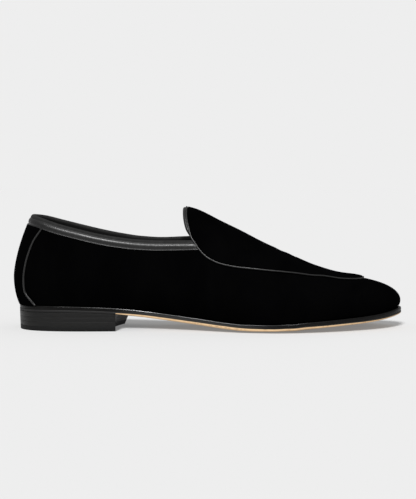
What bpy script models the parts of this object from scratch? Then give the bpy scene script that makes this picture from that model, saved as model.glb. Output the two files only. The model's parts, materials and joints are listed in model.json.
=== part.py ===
"""A right-foot velvet slipper loafer, empty, standing on its heel and the ball of its sole.

The toe points along +X, the inner (medial) side of the foot is +Y, the outer (lateral) side is -Y, and +Z
is up. All lengths are in metres. The tables hold shares of the named sizes, so a changed size carries its
pieces along.
"""

import math
from collections import namedtuple

import bpy
import numpy as np

# Driving sizes of the sole
SOLE_LENGTH = 0.2985
BALL_WIDTH = 0.1010
WAIST_WIDTH = 0.0560
HEEL_WIDTH = 0.0630
HEEL_HEIGHT = 0.0143
TOE_SPRING = 0.0122
EDGE_LIFT = 0.0018
TREAD_FLAT_SHARE = 0.5
OUTSOLE_THICKNESS = 0.0020
MIDSOLE_THICKNESS = 0.0026
SOLE_EDGE_BEVEL = 0.0007
HEEL_BREAST_LATERAL = 0.0766
HEEL_BREAST_MEDIAL = 0.0862
HEEL_BREAST_SLANT = 0.0058
HEEL_BREAST_BOW = 0.0048
HEEL_TAPER = 0.0005
TOP_PIECE_THICKNESS = 0.0036
LIFT_COUNT = 3

# Driving sizes of the upper, whose heights are above the floor
INSTEP_HEIGHT = 0.0932
COLLAR_BACK_HEIGHT = 0.0882
BACK_OVERHANG = 0.0033
BACK_RISE = 0.0217
WELT_SHOW = 0.0028
WALL = 0.0020
INSOLE_THICKNESS = 0.0025
THROAT_DISTANCE = 0.1372
TONGUE_REACH = 0.0094

# Driving sizes of the trim
PLUG_THICKNESS = 0.0012
PIPING_DIAMETER = 0.0014
BACK_PIPING_DIAMETER = 0.0014
BINDING_DEPTH = 0.0066
BINDING_THICKNESS = 0.0008
BACK_STRIP_THICKNESS = 0.0010
BACK_STRIP_WIDTH = 0.0480

# Clearances between neighbouring pieces
GAP = 0.0003

# How finely the forms are cut into facets
STRIP_COLUMNS = 5
QUARTER_COLUMNS = 13
VAMP_COLUMNS = 26
WALL_ROWS = 7
BAND_ROWS = 2
PLUG_ROWS = 5
HEEL_COLUMNS = 12
HEEL_CROSS_ROWS = 4
PIPING_SIDES = 6
ROLL_STEPS = 3
DENSE_COLUMNS = 361
DENSE_ROWS = 121

# The lower edge of the wall turns in under the foot through this angle
TUCK_ANGLE = math.radians(50)

# The sole's outline. along: share of the sole's length. width: the named width that the row follows.
# out: share of that width, from the sole's axis. flare: how far the upper stands out past the sole's edge,
# as a share of the overhang at the back. show: how far the upper's foot lies inside the sole's edge, as a
# share of the welt's show at the toe.
EdgeRow = namedtuple("EdgeRow", "along width out flare show")

BACK_POINT = EdgeRow(0.0, HEEL_WIDTH, 0.010, 1.0, 0.28)
TOE_POINT = EdgeRow(1.0, BALL_WIDTH, 0.045, -0.18, 1.0)

LATERAL_EDGE = (
    EdgeRow(0.030, HEEL_WIDTH, 0.340, 0.95, 0.30),
    EdgeRow(0.115, HEEL_WIDTH, 0.500, 0.75, 0.36),
    EdgeRow(0.253, HEEL_WIDTH, 0.500, 0.85, 0.48),
    EdgeRow(0.385, WAIST_WIDTH, 0.580, 1.30, 0.57),
    EdgeRow(0.520, BALL_WIDTH, 0.404, 0.48, 0.75),
    EdgeRow(0.650, BALL_WIDTH, 0.490, -0.14, 0.86),
    EdgeRow(0.762, BALL_WIDTH, 0.474, -0.30, 0.93),
    EdgeRow(0.865, BALL_WIDTH, 0.372, -0.34, 0.96),
    EdgeRow(0.948, BALL_WIDTH, 0.222, -0.28, 1.0),
)

MEDIAL_EDGE = (
    EdgeRow(0.030, HEEL_WIDTH, 0.360, 0.95, 0.30),
    EdgeRow(0.108, HEEL_WIDTH, 0.495, 0.75, 0.36),
    EdgeRow(0.245, HEEL_WIDTH, 0.450, 1.20, 0.48),
    EdgeRow(0.380, WAIST_WIDTH, 0.420, 2.20, 0.57),
    EdgeRow(0.500, WAIST_WIDTH, 0.490, 1.60, 0.70),
    EdgeRow(0.615, BALL_WIDTH, 0.410, 0.28, 0.84),
    EdgeRow(0.715, BALL_WIDTH, 0.497, -0.17, 0.90),
    EdgeRow(0.800, BALL_WIDTH, 0.482, -0.30, 0.94),
    EdgeRow(0.880, BALL_WIDTH, 0.404, -0.34, 0.97),
    EdgeRow(0.950, BALL_WIDTH, 0.280, -0.28, 1.0),
)

# The underside of the sole. heel, toe: its height on the shoe's axis, as shares of the heel's height behind
# the ball and of the toe's spring before it. edge: how far the rounded sole rises from its axis to its edge,
# as a share of the edge's lift.
ProfileRow = namedtuple("ProfileRow", "along heel toe edge")

SOLE_PROFILE = (
    ProfileRow(-0.020, 1.000, 0.0, 0.0),
    ProfileRow(0.100, 1.000, 0.0, 0.0),
    ProfileRow(0.190, 0.968, 0.0, 0.0),
    ProfileRow(0.253, 0.900, 0.0, 0.0),
    ProfileRow(0.315, 0.770, 0.0, 0.15),
    ProfileRow(0.368, 0.610, 0.0, 0.35),
    ProfileRow(0.420, 0.440, 0.0, 0.60),
    ProfileRow(0.473, 0.283, 0.0, 0.75),
    ProfileRow(0.526, 0.128, 0.0, 0.85),
    ProfileRow(0.575, 0.022, 0.0, 0.95),
    ProfileRow(0.605, 0.000, 0.0, 1.0),
    ProfileRow(0.655, 0.000, 0.0, 1.05),
    ProfileRow(0.700, 0.0, 0.0, 1.40),
    ProfileRow(0.735, 0.0, 0.070, 1.45),
    ProfileRow(0.787, 0.0, 0.205, 1.10),
    ProfileRow(0.840, 0.0, 0.340, 0.80),
    ProfileRow(0.892, 0.0, 0.465, 0.55),
    ProfileRow(0.945, 0.0, 0.642, 0.28),
    ProfileRow(0.980, 0.0, 0.825, 0.10),
    ProfileRow(1.020, 0.0, 1.060, 0.0),
)

# The upper's cross sections. rise: height of the widest line above the sole, as a share of the back's rise.
# top: height of the section's crown above the floor, as a share of the instep's height. Behind the tongue the
# crown is only where the walls lean to, and the collar cuts them off. side, crown: how square the section is
# beside and on top, where 2 and 2 is an ellipse. axis: the crown's place across, as a share of the ball's
# width.
SectionRow = namedtuple("SectionRow", "along rise top side crown axis")

SECTIONS = (
    SectionRow(-0.020, 1.00, 1.412, 1.50, 1.00, 0.005),
    SectionRow(0.186, 0.88, 1.255, 1.50, 1.15, 0.000),
    SectionRow(0.314, 0.80, 1.137, 1.55, 1.40, 0.000),
    SectionRow(0.429, 0.74, 1.010, 1.60, 1.80, 0.005),
    SectionRow(0.463, 0.72, 0.976, 1.65, 1.85, 0.008),
    SectionRow(0.525, 0.66, 0.878, 1.80, 1.95, 0.012),
    SectionRow(0.580, 0.63, 0.792, 1.88, 2.00, 0.015),
    SectionRow(0.630, 0.60, 0.708, 1.95, 2.00, 0.018),
    SectionRow(0.714, 0.55, 0.585, 2.00, 2.00, 0.025),
    SectionRow(0.777, 0.50, 0.501, 2.00, 2.05, 0.031),
    SectionRow(0.840, 0.44, 0.445, 2.00, 2.10, 0.037),
    SectionRow(0.881, 0.38, 0.429, 2.00, 2.15, 0.041),
    SectionRow(0.925, 0.31, 0.413, 2.05, 2.20, 0.044),
    SectionRow(1.020, 0.20, 0.398, 2.10, 2.20, 0.045),
)

# The centre of the heel's round and the last crown point before the toe, as shares of the sole's length.
HEEL_CENTRE = 0.105
TOE_CENTRE = 0.865

# The collar's edge: heights above the floor, as shares of the collar's height at the back.
CollarRow = namedtuple("CollarRow", "along lateral medial")

COLLAR = (
    CollarRow(0.020, 1.004, 1.004),
    CollarRow(0.054, 0.976, 0.989),
    CollarRow(0.106, 0.921, 0.944),
    CollarRow(0.159, 0.875, 0.898),
    CollarRow(0.211, 0.834, 0.856),
    CollarRow(0.263, 0.804, 0.821),
    CollarRow(0.316, 0.785, 0.795),
    CollarRow(0.369, 0.778, 0.785),
    CollarRow(0.430, 0.780, 0.793),
    CollarRow(0.500, 0.786, 0.806),
)

# The plug's edge: height above the widest line, as a share of the section's height there.
PlugRow = namedtuple("PlugRow", "along lateral medial")

PLUG_EDGE = (
    PlugRow(0.478, 0.560, 0.560),
    PlugRow(0.497, 0.516, 0.516),
    PlugRow(0.522, 0.504, 0.504),
    PlugRow(0.560, 0.521, 0.521),
    PlugRow(0.630, 0.595, 0.595),
    PlugRow(0.700, 0.675, 0.675),
    PlugRow(0.780, 0.767, 0.767),
    PlugRow(0.840, 0.850, 0.850),
    PlugRow(0.900, 0.885, 0.885),
    PlugRow(0.950, 0.915, 0.915),
    PlugRow(0.980, 0.950, 0.950),
    PlugRow(1.000, 0.982, 0.982),
)

# The back strip's edge: half its width round the heel, as a share of the strip's named width, against height
# as a share of the wall below the binding.
StripRow = namedtuple("StripRow", "up half")

BACK_STRIP_EDGE = (
    StripRow(0.0, 0.643),
    StripRow(0.2, 0.484),
    StripRow(0.5, 0.487),
    StripRow(0.8, 0.520),
    StripRow(1.0, 0.600),
)

# name: the material's name. colour: linear red, green and blue.
Finish = namedtuple("Finish", "name colour roughness")

VELVET = Finish("black_velvet", (0.004, 0.004, 0.005), 1.0)
TRIM_LEATHER = Finish("black_trim_leather", (0.020, 0.020, 0.021), 0.40)
EDGE_LEATHER = Finish("black_edge_leather", (0.022, 0.021, 0.020), 0.45)
SOLE_LEATHER = Finish("tan_sole_leather", (0.55, 0.36, 0.21), 0.60)
HEEL_LEATHER = Finish("black_heel_leather", (0.026, 0.025, 0.024), 0.42)
HEEL_RUBBER = Finish("black_heel_rubber", (0.018, 0.018, 0.018), 0.60)
LINING_LEATHER = Finish("black_lining_leather", (0.015, 0.014, 0.014), 0.50)


def blend(at, places, values):
    """A smooth curve through the table's values that never swings past them (monotone cubic)."""
    places = np.asarray(places, float)
    values = np.asarray(values, float)
    step = np.diff(places)
    slope = np.diff(values) / step
    tangent = np.empty_like(values)
    tangent[0], tangent[-1] = slope[0], slope[-1]
    before, after = slope[:-1], slope[1:]
    weight_before = 2 * step[1:] + step[:-1]
    weight_after = step[1:] + 2 * step[:-1]
    same_way = before * after > 0
    safe_before = np.where(same_way, before, 1.0)
    safe_after = np.where(same_way, after, 1.0)
    harmonic = (weight_before + weight_after) / (weight_before / safe_before + weight_after / safe_after)
    tangent[1:-1] = np.where(same_way, harmonic, 0.0)
    at = np.clip(at, places[0], places[-1])
    cell = np.clip(np.searchsorted(places, at, side="right") - 1, 0, len(step) - 1)
    t = (at - places[cell]) / step[cell]
    return (
        values[cell] * (1 + 2 * t) * (1 - t) ** 2
        + tangent[cell] * step[cell] * t * (1 - t) ** 2
        + values[cell + 1] * t**2 * (3 - 2 * t)
        - tangent[cell + 1] * step[cell] * t**2 * (1 - t)
    )


def column(rows, name):
    return [getattr(row, name) for row in rows]


def closed_spline(points, per_span):
    """A smooth closed curve through the points: a periodic cubic spline over chord lengths."""
    ahead = np.roll(points, -1, axis=0)
    chord = np.linalg.norm((ahead - points)[:, :2], axis=1)
    count = len(points)
    system = np.zeros((count, count))
    right = np.zeros_like(points)
    for i in range(count):
        back = (i - 1) % count
        system[i, back] = chord[i]
        system[i, i] = 2 * (chord[back] + chord[i])
        system[i, (i + 1) % count] = chord[back]
        rise_back = (points[i] - points[back]) / chord[back]
        rise_ahead = (ahead[i] - points[i]) / chord[i]
        right[i] = 3 * (chord[i] * rise_back + chord[back] * rise_ahead)
    tangent = np.linalg.solve(system, right)
    t = (np.arange(per_span) / per_span)[None, :, None]
    span = chord[:, None, None]
    start, end = points[:, None, :], ahead[:, None, :]
    leave, arrive = tangent[:, None, :], np.roll(tangent, -1, axis=0)[:, None, :]
    curve = (
        start * (1 + 2 * t) * (1 - t) ** 2
        + leave * span * t * (1 - t) ** 2
        + end * t**2 * (3 - 2 * t)
        - arrive * span * t**2 * (1 - t)
    )
    return curve.reshape(-1, points.shape[1])


def underside(x, reach=1.0):
    """Height of the outsole's underside above the floor. reach is 0 on the axis and 1 at the sole's edge.

    The tread is flat across the middle, then curves up to the edge."""
    along = column(SOLE_PROFILE, "along")
    heights = [row.heel * HEEL_HEIGHT + row.toe * TOE_SPRING for row in SOLE_PROFILE]
    lift = EDGE_LIFT * blend(x / SOLE_LENGTH, along, column(SOLE_PROFILE, "edge"))
    past_flat = max(reach - TREAD_FLAT_SHARE, 0) / (1 - TREAD_FLAT_SHARE)
    return blend(x / SOLE_LENGTH, along, heights) + lift * past_flat**2


def midsole_bottom(x, reach=1.0):
    return underside(x, reach) + OUTSOLE_THICKNESS + GAP


def sole_top(x, reach=1.0):
    return midsole_bottom(x, reach) + MIDSOLE_THICKNESS


def crown(x):
    """Height of the upper's crown line above the floor."""
    return INSTEP_HEIGHT * blend(x / SOLE_LENGTH, column(SECTIONS, "along"), column(SECTIONS, "top"))


def edge_rows(rows, side):
    """Each row as x, y, flare and show, in metres."""
    return [
        (
            row.along * SOLE_LENGTH,
            side * row.out * row.width,
            row.flare * BACK_OVERHANG,
            row.show * WELT_SHOW,
        )
        for row in rows
    ]


def side_outlines():
    """The two sides of the sole's outline, from the back to the toe, evenly spaced along their length.

    Each is a dictionary of arrays over the share of the side's length, with the upper's widest line and
    foot."""
    points = np.array(
        edge_rows([BACK_POINT], 1)
        + edge_rows(LATERAL_EDGE, -1)
        + edge_rows([TOE_POINT], 1)
        + edge_rows(reversed(MEDIAL_EDGE), 1)
    )
    per_span = 60
    loop = closed_spline(points, per_span)
    tangent = np.roll(loop, -1, axis=0)[:, :2] - np.roll(loop, 1, axis=0)[:, :2]
    tangent /= np.linalg.norm(tangent, axis=1)[:, None]
    outward = np.stack([tangent[:, 1], -tangent[:, 0]], axis=1)
    table = np.hstack([loop[:, :2], outward, loop[:, 2:]])
    toe = per_span * (len(LATERAL_EDGE) + 1)
    lateral = table[: toe + 1]
    medial = np.vstack([table[toe:], table[:1]])[::-1]
    share = np.linspace(0, 1, DENSE_COLUMNS)
    sides = {}
    for name, run in (("lateral", lateral), ("medial", medial)):
        reach = np.concatenate([[0], np.cumsum(np.linalg.norm(np.diff(run[:, :2], axis=0), axis=1))])
        even = np.stack([np.interp(share * reach[-1], reach, run[:, i]) for i in range(6)], axis=1)
        sole, out = even[:, :2], even[:, 2:4]
        sides[name] = {
            "length": reach[-1],
            "sole": sole,
            "out": out,
            "widest": sole + out * even[:, 4:5],
            "foot": sole - out * even[:, 5:6],
        }
    mean_x = (sides["lateral"]["sole"][:, 0] + sides["medial"]["sole"][:, 0]) / 2
    axis_x = SOLE_LENGTH * (HEEL_CENTRE + (TOE_CENTRE - HEEL_CENTRE) * mean_x / SOLE_LENGTH)
    axis_y = BALL_WIDTH * blend(axis_x / SOLE_LENGTH, column(SECTIONS, "along"), column(SECTIONS, "axis"))
    for side in sides.values():
        side["axis"] = np.stack([axis_x, axis_y], axis=1)
        along = side["widest"][:, 0] / SOLE_LENGTH
        side["rise"] = BACK_RISE * blend(along, column(SECTIONS, "along"), column(SECTIONS, "rise"))
        side["side_power"] = blend(along, column(SECTIONS, "along"), column(SECTIONS, "side"))
        side["crown_power"] = blend(along, column(SECTIONS, "along"), column(SECTIONS, "crown"))
    return sides


def at_share(side, name, share):
    """One of a side's arrays at these shares of its length."""
    even = np.linspace(0, 1, DENSE_COLUMNS)
    values = side[name]
    if values.ndim == 1:
        return np.interp(share, even, values)
    return np.stack([np.interp(share, even, values[:, i]) for i in range(values.shape[1])], axis=-1)


def shell(side, share, climb):
    """A point of the upper's outer face. climb is -1 at the foot, 0 on the widest line and 1 on the crown.

    Below the widest line the section is an arc that tucks in to the foot. Above it the section is a
    superellipse from the widest line to the crown, on a ray from the outline to the shoe's axis."""
    share, climb = np.broadcast_arrays(share, climb)
    widest = at_share(side, "widest", share)
    foot = at_share(side, "foot", share)
    axis = at_share(side, "axis", share)
    side_power = at_share(side, "side_power", share)
    crown_power = at_share(side, "crown_power", share)
    foot_z = sole_top(foot[..., 0]) + GAP
    widest_z = sole_top(widest[..., 0]) + at_share(side, "rise", share)
    turn = np.clip(-climb, 0, 1) * TUCK_ANGLE
    inward = ((1 - np.cos(turn)) / (1 - math.cos(TUCK_ANGLE)))[..., None]
    low = widest + (foot - widest) * inward
    low_z = widest_z - (widest_z - foot_z) * np.sin(turn) / math.sin(TUCK_ANGLE)
    angle = np.clip(climb, 0, 1) * math.pi / 2
    reach = (np.clip(np.cos(angle), 0, 1) ** (2 / crown_power))[..., None]
    high = axis + (widest - axis) * reach
    high_z = widest_z + (crown(high[..., 0]) - widest_z) * np.sin(angle) ** (2 / side_power)
    plan = np.where((climb < 0)[..., None], low, high)
    height = np.where(climb < 0, low_z, high_z)
    return np.concatenate([plan, height[..., None]], axis=-1)


def collar_climb(side, name):
    """Where each dense column meets the collar's edge, and the x there."""
    share = np.linspace(0, 1, DENSE_COLUMNS)
    climb = np.linspace(0, 1, DENSE_ROWS)
    points = shell(side, share[:, None], climb[None, :])
    edge = COLLAR_BACK_HEIGHT * blend(
        points[..., 0] / SOLE_LENGTH, column(COLLAR, "along"), column(COLLAR, name)
    )
    edge -= GAP + BINDING_THICKNESS
    above = points[..., 2] - edge
    first = np.clip(np.argmax(above > 0, axis=1), 1, DENSE_ROWS - 1)
    rows = np.arange(DENSE_COLUMNS)
    low, high = above[rows, first - 1], above[rows, first]
    found = climb[first - 1] + (climb[first] - climb[first - 1]) * np.clip(-low / (high - low), 0, 1)
    return found, shell(side, share, found)[:, 0]


def plug_climb(side, name, throat, throat_climb):
    """Where each dense column before the throat meets the plug's edge."""
    share = np.linspace(0, 1, DENSE_COLUMNS)
    along = at_share(side, "widest", share)[:, 0] / SOLE_LENGTH
    side_power = at_share(side, "side_power", share)
    throat_along = np.interp(throat, share, along)
    throat_power = np.interp(throat, share, side_power)
    throat_height = math.sin(throat_climb * math.pi / 2) ** (2 / throat_power)
    rows = [row for row in PLUG_EDGE if row.along > throat_along + 0.004]
    places = [throat_along] + column(rows, "along")
    heights = [throat_height] + column(rows, name)
    level = np.clip(blend(along, places, heights), 0, 1)
    return np.arcsin(level ** (side_power / 2)) * 2 / math.pi


class Last:
    """The upper's outer face as one sheet of columns and rows, shared by every piece that lies on it."""

    def __init__(self):
        self.sides = side_outlines()
        self.band_row = WALL_ROWS
        self.edge_row = WALL_ROWS + BAND_ROWS
        self.crown_row = self.edge_row + PLUG_ROWS
        self.throat_column = STRIP_COLUMNS + QUARTER_COLUMNS + 1
        self.toe_column = self.throat_column + VAMP_COLUMNS
        self.grids = {name: self.grid(name) for name in ("lateral", "medial")}
        self.join()

    def grid(self, name):
        """The points of one side, column by column and row by row."""
        side = self.sides[name]
        dense = np.linspace(0, 1, DENSE_COLUMNS)
        collar, collar_x = collar_climb(side, name)
        throat = float(np.interp(THROAT_DISTANCE, collar_x, dense))
        throat_climb = float(np.interp(throat, dense, collar))
        plug = plug_climb(side, name, throat, throat_climb)
        edge = np.where(dense <= throat, collar, plug)
        rows = self.row_climbs(side, edge)
        strip = BACK_STRIP_WIDTH / side["length"]
        binding_end = throat - (2.4 * PIPING_DIAMETER + 3 * GAP) / side["length"]
        base = np.concatenate(
            [
                np.linspace(0, strip * 0.5, STRIP_COLUMNS + 1)[:-1],
                np.linspace(strip * 0.5, binding_end, QUARTER_COLUMNS + 1),
                np.linspace(throat, 1, VAMP_COLUMNS + 1),
            ]
        )
        share = np.repeat(base[:, None], self.crown_row + 1, axis=1)
        share += self.strip_bend(strip) + self.tongue_bend(side)
        climb = np.stack(
            [np.interp(share[:, i], dense, rows[:, i]) for i in range(self.crown_row + 1)], axis=1
        )
        climb[self.throat_column, self.edge_row] = throat_climb
        points = shell(side, share, climb)
        points[:, self.crown_row, :2] = at_share(side, "axis", share[:, self.crown_row])
        return points

    def row_climbs(self, side, edge):
        """The climb of each row on each dense column, with the rows evenly spaced over the surface."""
        dense = np.linspace(0, 1, DENSE_COLUMNS)
        parts = []
        for start, end, part in ((-1.0, edge, "wall"), (edge, 1.0, "plug")):
            t = np.linspace(0, 1, DENSE_ROWS)
            climb = np.asarray(start)[..., None] * (1 - t) + np.asarray(end)[..., None] * t
            points = shell(side, dense[:, None], climb)
            steps = np.linalg.norm(np.diff(points, axis=1), axis=2)
            reach = np.concatenate([np.zeros((DENSE_COLUMNS, 1)), np.cumsum(steps, axis=1)], axis=1)
            for i in range(DENSE_COLUMNS):
                total = reach[i, -1]
                if part == "wall":
                    wall = np.linspace(0, total - BINDING_DEPTH, WALL_ROWS + 1)
                    band = np.linspace(total - BINDING_DEPTH, total, BAND_ROWS + 1)
                    wanted = np.concatenate([wall, band[1:]])
                else:
                    wanted = np.linspace(0, total, PLUG_ROWS + 1)[1:]
                parts.append(np.interp(wanted, reach[i], climb[i]))
        wall, plug = np.array(parts[:DENSE_COLUMNS]), np.array(parts[DENSE_COLUMNS:])
        return np.hstack([wall, plug])

    def strip_bend(self, strip):
        """Shifts the columns by the heel so that one of them follows the back strip's edge."""
        up = np.clip(np.arange(self.crown_row + 1) / self.band_row, 0, 1)
        half = blend(up, column(BACK_STRIP_EDGE, "up"), column(BACK_STRIP_EDGE, "half"))
        shift = (half - 0.5) * strip
        columns = np.arange(self.toe_column + 1)
        fade_columns = STRIP_COLUMNS + QUARTER_COLUMNS // 2
        weight = np.interp(columns, [0, STRIP_COLUMNS, fade_columns], [0, 1, 0])
        return weight[:, None] * shift[None, :]

    def tongue_bend(self, side):
        """Shifts the columns by the throat back along the tongue's edge, which leans back as it rises."""
        rows = np.arange(self.crown_row + 1)
        climb = np.clip((rows - self.edge_row) / PLUG_ROWS, 0, 1)
        lean = 1 - (1 - climb) ** 3
        columns = np.arange(self.toe_column + 1)
        fade_columns = self.throat_column + VAMP_COLUMNS // 3
        weight = np.interp(columns, [self.throat_column - 1, self.throat_column, fade_columns], [0, 1, 0])
        return -weight[:, None] * lean[None, :] * TONGUE_REACH / side["length"]

    def join(self):
        """Joins the two sides at the back, the toe and the crown, and works out the sheet's normals."""
        columns, rows = self.toe_column + 1, self.crown_row + 1
        points = np.concatenate([self.grids["lateral"].reshape(-1, 3), self.grids["medial"].reshape(-1, 3)])
        index = {
            "lateral": np.arange(columns * rows).reshape(columns, rows),
            "medial": np.arange(columns * rows).reshape(columns, rows) + columns * rows,
        }
        lateral, medial = index["lateral"], index["medial"]
        shared = [
            (lateral[0, : self.edge_row + 1], medial[0, : self.edge_row + 1]),
            (lateral[-1, :], medial[-1, :]),
            (lateral[self.throat_column :, -1], medial[self.throat_column :, -1]),
        ]
        for kept, twin in shared:
            points[kept] = (points[kept] + points[twin]) / 2
            points[twin] = points[kept]
        medial[0, : self.edge_row + 1] = lateral[0, : self.edge_row + 1]
        medial[-1, :] = lateral[-1, :]
        medial[self.throat_column :, -1] = lateral[self.throat_column :, -1]
        self.points, self.index = points, index
        normals = np.zeros_like(points)
        for face in self.faces(0, self.toe_column, 0, self.edge_row) + self.plug_faces():
            corners = points[face]
            across = np.cross(corners[1] - corners[0], corners[2] - corners[0])
            for corner in face:
                normals[corner] += across
        length = np.linalg.norm(normals, axis=1)[:, None]
        self.normals = normals / np.where(length > 0, length, 1)

    def faces(self, first_column, last_column, first_row, last_row):
        """The triangles between these columns and rows on both sides, seen from outside.

        Every piece on the sheet is cut along the same diagonals, so that layers keep their gap."""
        found = []
        for name, turn in (("lateral", 1), ("medial", -1)):
            ids = self.index[name]
            for i in range(first_column, last_column):
                for j in range(first_row, last_row):
                    found.append([ids[i, j], ids[i + 1, j], ids[i + 1, j + 1]][::turn])
                    found.append([ids[i, j], ids[i + 1, j + 1], ids[i, j + 1]][::turn])
        return tidy_faces(found)

    def plug_faces(self):
        return self.faces(self.throat_column, self.toe_column, self.edge_row, self.crown_row)


def make_object(name, points, faces, finish):
    """A closed mesh object with its own material."""
    mesh = bpy.data.meshes.new(name)
    mesh.from_pydata([tuple(p) for p in points], [], [[int(i) for i in f] for f in faces])
    mesh.validate()
    mesh.shade_smooth()
    mesh.set_sharp_from_angle(angle=math.radians(40))
    material = bpy.data.materials.get(finish.name) or bpy.data.materials.new(finish.name)
    material.use_nodes = True
    shader = material.node_tree.nodes["Principled BSDF"]
    shader.inputs["Base Color"].default_value = (*finish.colour, 1)
    shader.inputs["Roughness"].default_value = finish.roughness
    shader.inputs["Metallic"].default_value = 0
    mesh.materials.append(material)
    made = bpy.data.objects.new(name, mesh)
    bpy.context.scene.collection.objects.link(made)
    return made


def thicken(name, last, faces, low, high, finish):
    """A solid wall over part of the last's sheet, from low to high above it along its normals."""
    used = sorted({corner for face in faces for corner in face})
    place = {corner: i for i, corner in enumerate(used)}
    base, normals = last.points[used], last.normals[used]
    outer = keep_above_sole(base + normals * high)
    inner = keep_above_sole(base + normals * low)
    if low < 0:
        foot = {int(i) for ids in last.index.values() for i in ids[:, 0]}
        at_foot = np.array([corner in foot for corner in used])
        level = normals * [1, 1, 0]
        level /= np.linalg.norm(level, axis=1)[:, None]
        inner[at_foot] = (base + level * low * 1.15)[at_foot]
    count = len(used)
    solid = [[place[c] for c in face] for face in faces]
    inside = [[place[c] + count for c in reversed(face)] for face in faces]
    sides = boundary_sides(solid, count)
    return make_object(name, np.vstack([outer, inner]), tidy_faces(solid + inside + sides), finish)


def keep_above_sole(points):
    """Lifts what would reach into the sole to a gap above it."""
    lifted = points.copy()
    lifted[:, 2] = np.maximum(points[:, 2], sole_top(points[:, 0]) + GAP)
    return lifted


def boundary_sides(faces, offset):
    """Faces that join the rim of an open sheet to the rim of its copy, whose indices are higher by offset."""
    edges = set()
    for face in tidy_faces(faces):
        for a, b in zip(face, face[1:] + face[:1]):
            edges.add((a, b))
    return [[b, a, a + offset, b + offset] for a, b in edges if (b, a) not in edges]


def tidy_faces(faces):
    """The faces without doubled corners."""
    tidy = []
    for face in faces:
        kept = [c for i, c in enumerate(face) if c != face[i - 1]]
        if len(kept) > 2:
            tidy.append(kept)
    return tidy


def loft(name, rings, finish, closed=False):
    """A solid through rings of equally many points. An open run gets end caps."""
    count, size = len(rings), len(rings[0])
    points = np.concatenate(rings)
    faces = []
    for i in range(count if closed else count - 1):
        start, end = i * size, (i + 1) % count * size
        for j in range(size):
            k = (j + 1) % size
            faces.append([start + j, start + k, end + k, end + j])
    if not closed:
        faces.append(list(range(size))[::-1])
        faces.append([(count - 1) * size + j for j in range(size)])
    return make_object(name, points, faces, finish)


def tube(name, path, normals, radius, finish, closed=False):
    """A round cord along a path, with its seam side towards the normals."""
    path = np.asarray(path)
    if closed:
        run = np.roll(path, -1, axis=0) - np.roll(path, 1, axis=0)
    else:
        run = np.gradient(path, axis=0)
    run /= np.linalg.norm(run, axis=1)[:, None]
    across = np.cross(run, normals)
    across /= np.linalg.norm(across, axis=1)[:, None]
    up = np.cross(across, run)
    turns = np.arange(PIPING_SIDES) * 2 * math.pi / PIPING_SIDES
    rings = [
        [p + radius * (math.cos(a) * u + math.sin(a) * s) for a in turns]
        for p, u, s in zip(path, up, across)
    ]
    return loft(name, rings, finish, closed)


def make_upper(last):
    faces = last.faces(0, last.toe_column, 0, last.edge_row) + last.plug_faces()
    return thicken("upper", last, faces, -WALL, 0.0, VELVET)


def make_plug(last):
    return thicken("plug", last, last.plug_faces(), GAP, GAP + PLUG_THICKNESS, VELVET)


def make_back_strip(last):
    """The velvet counter over the heel, from the sole to the binding."""
    faces = last.faces(0, STRIP_COLUMNS, 0, last.band_row)
    strip = thicken("back_strip", last, faces, GAP, GAP + BACK_STRIP_THICKNESS, VELVET)
    return shorten_top(strip, last)


def shorten_top(strip, last):
    """Lowers the strip's top edge by a gap, clear of the binding's lower edge."""
    lateral = last.index["lateral"][: STRIP_COLUMNS + 1, last.band_row]
    medial = last.index["medial"][: STRIP_COLUMNS + 1, last.band_row]
    top = last.points[np.concatenate([lateral, medial])]
    for vertex in strip.data.vertices:
        near = np.linalg.norm(top - np.array(vertex.co), axis=1).min()
        if near < GAP + BACK_STRIP_THICKNESS * 1.5:
            vertex.co.z -= GAP
    return strip


def plug_rim(last):
    """The plug's edge as a closed run of sheet points: round the toe, up both sides and over the tongue."""
    lateral, medial = last.index["lateral"], last.index["medial"]
    throat, edge = last.throat_column, last.edge_row
    return np.concatenate(
        [
            lateral[throat:, edge],
            medial[throat:-1, edge][::-1],
            medial[throat, edge + 1 :],
            lateral[throat, edge + 1 : -1][::-1],
        ]
    )


def make_plug_piping(last):
    """The leather cord that edges the plug, laid on the upper just outside the plug's rim."""
    rim = plug_rim(last)
    points, normals = last.points[rim], last.normals[rim]
    run = np.roll(points, -1, axis=0) - np.roll(points, 1, axis=0)
    run /= np.linalg.norm(run, axis=1)[:, None]
    outward = np.cross(run, normals)
    radius = PIPING_DIAMETER / 2
    path = points + outward * (radius + GAP) + normals * (radius + GAP)
    return tube("plug_piping", path, normals, radius, TRIM_LEATHER, closed=True)


def make_back_piping(last, name, turn):
    """The leather cord along one edge of the back strip."""
    rows = last.index[name][STRIP_COLUMNS, : last.band_row + 1]
    points, normals = last.points[rows], last.normals[rows]
    run = np.gradient(points, axis=0)
    run /= np.linalg.norm(run, axis=1)[:, None]
    outward = np.cross(run, normals) * turn
    radius = BACK_PIPING_DIAMETER / 2
    path = points + outward * (radius + GAP) + normals * (radius + GAP)
    path[0] += run[0] * 2.5 * radius
    path[-1] -= run[-1] * (radius + GAP)
    return tube("back_piping_" + name, path, normals, radius, TRIM_LEATHER)


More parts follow.
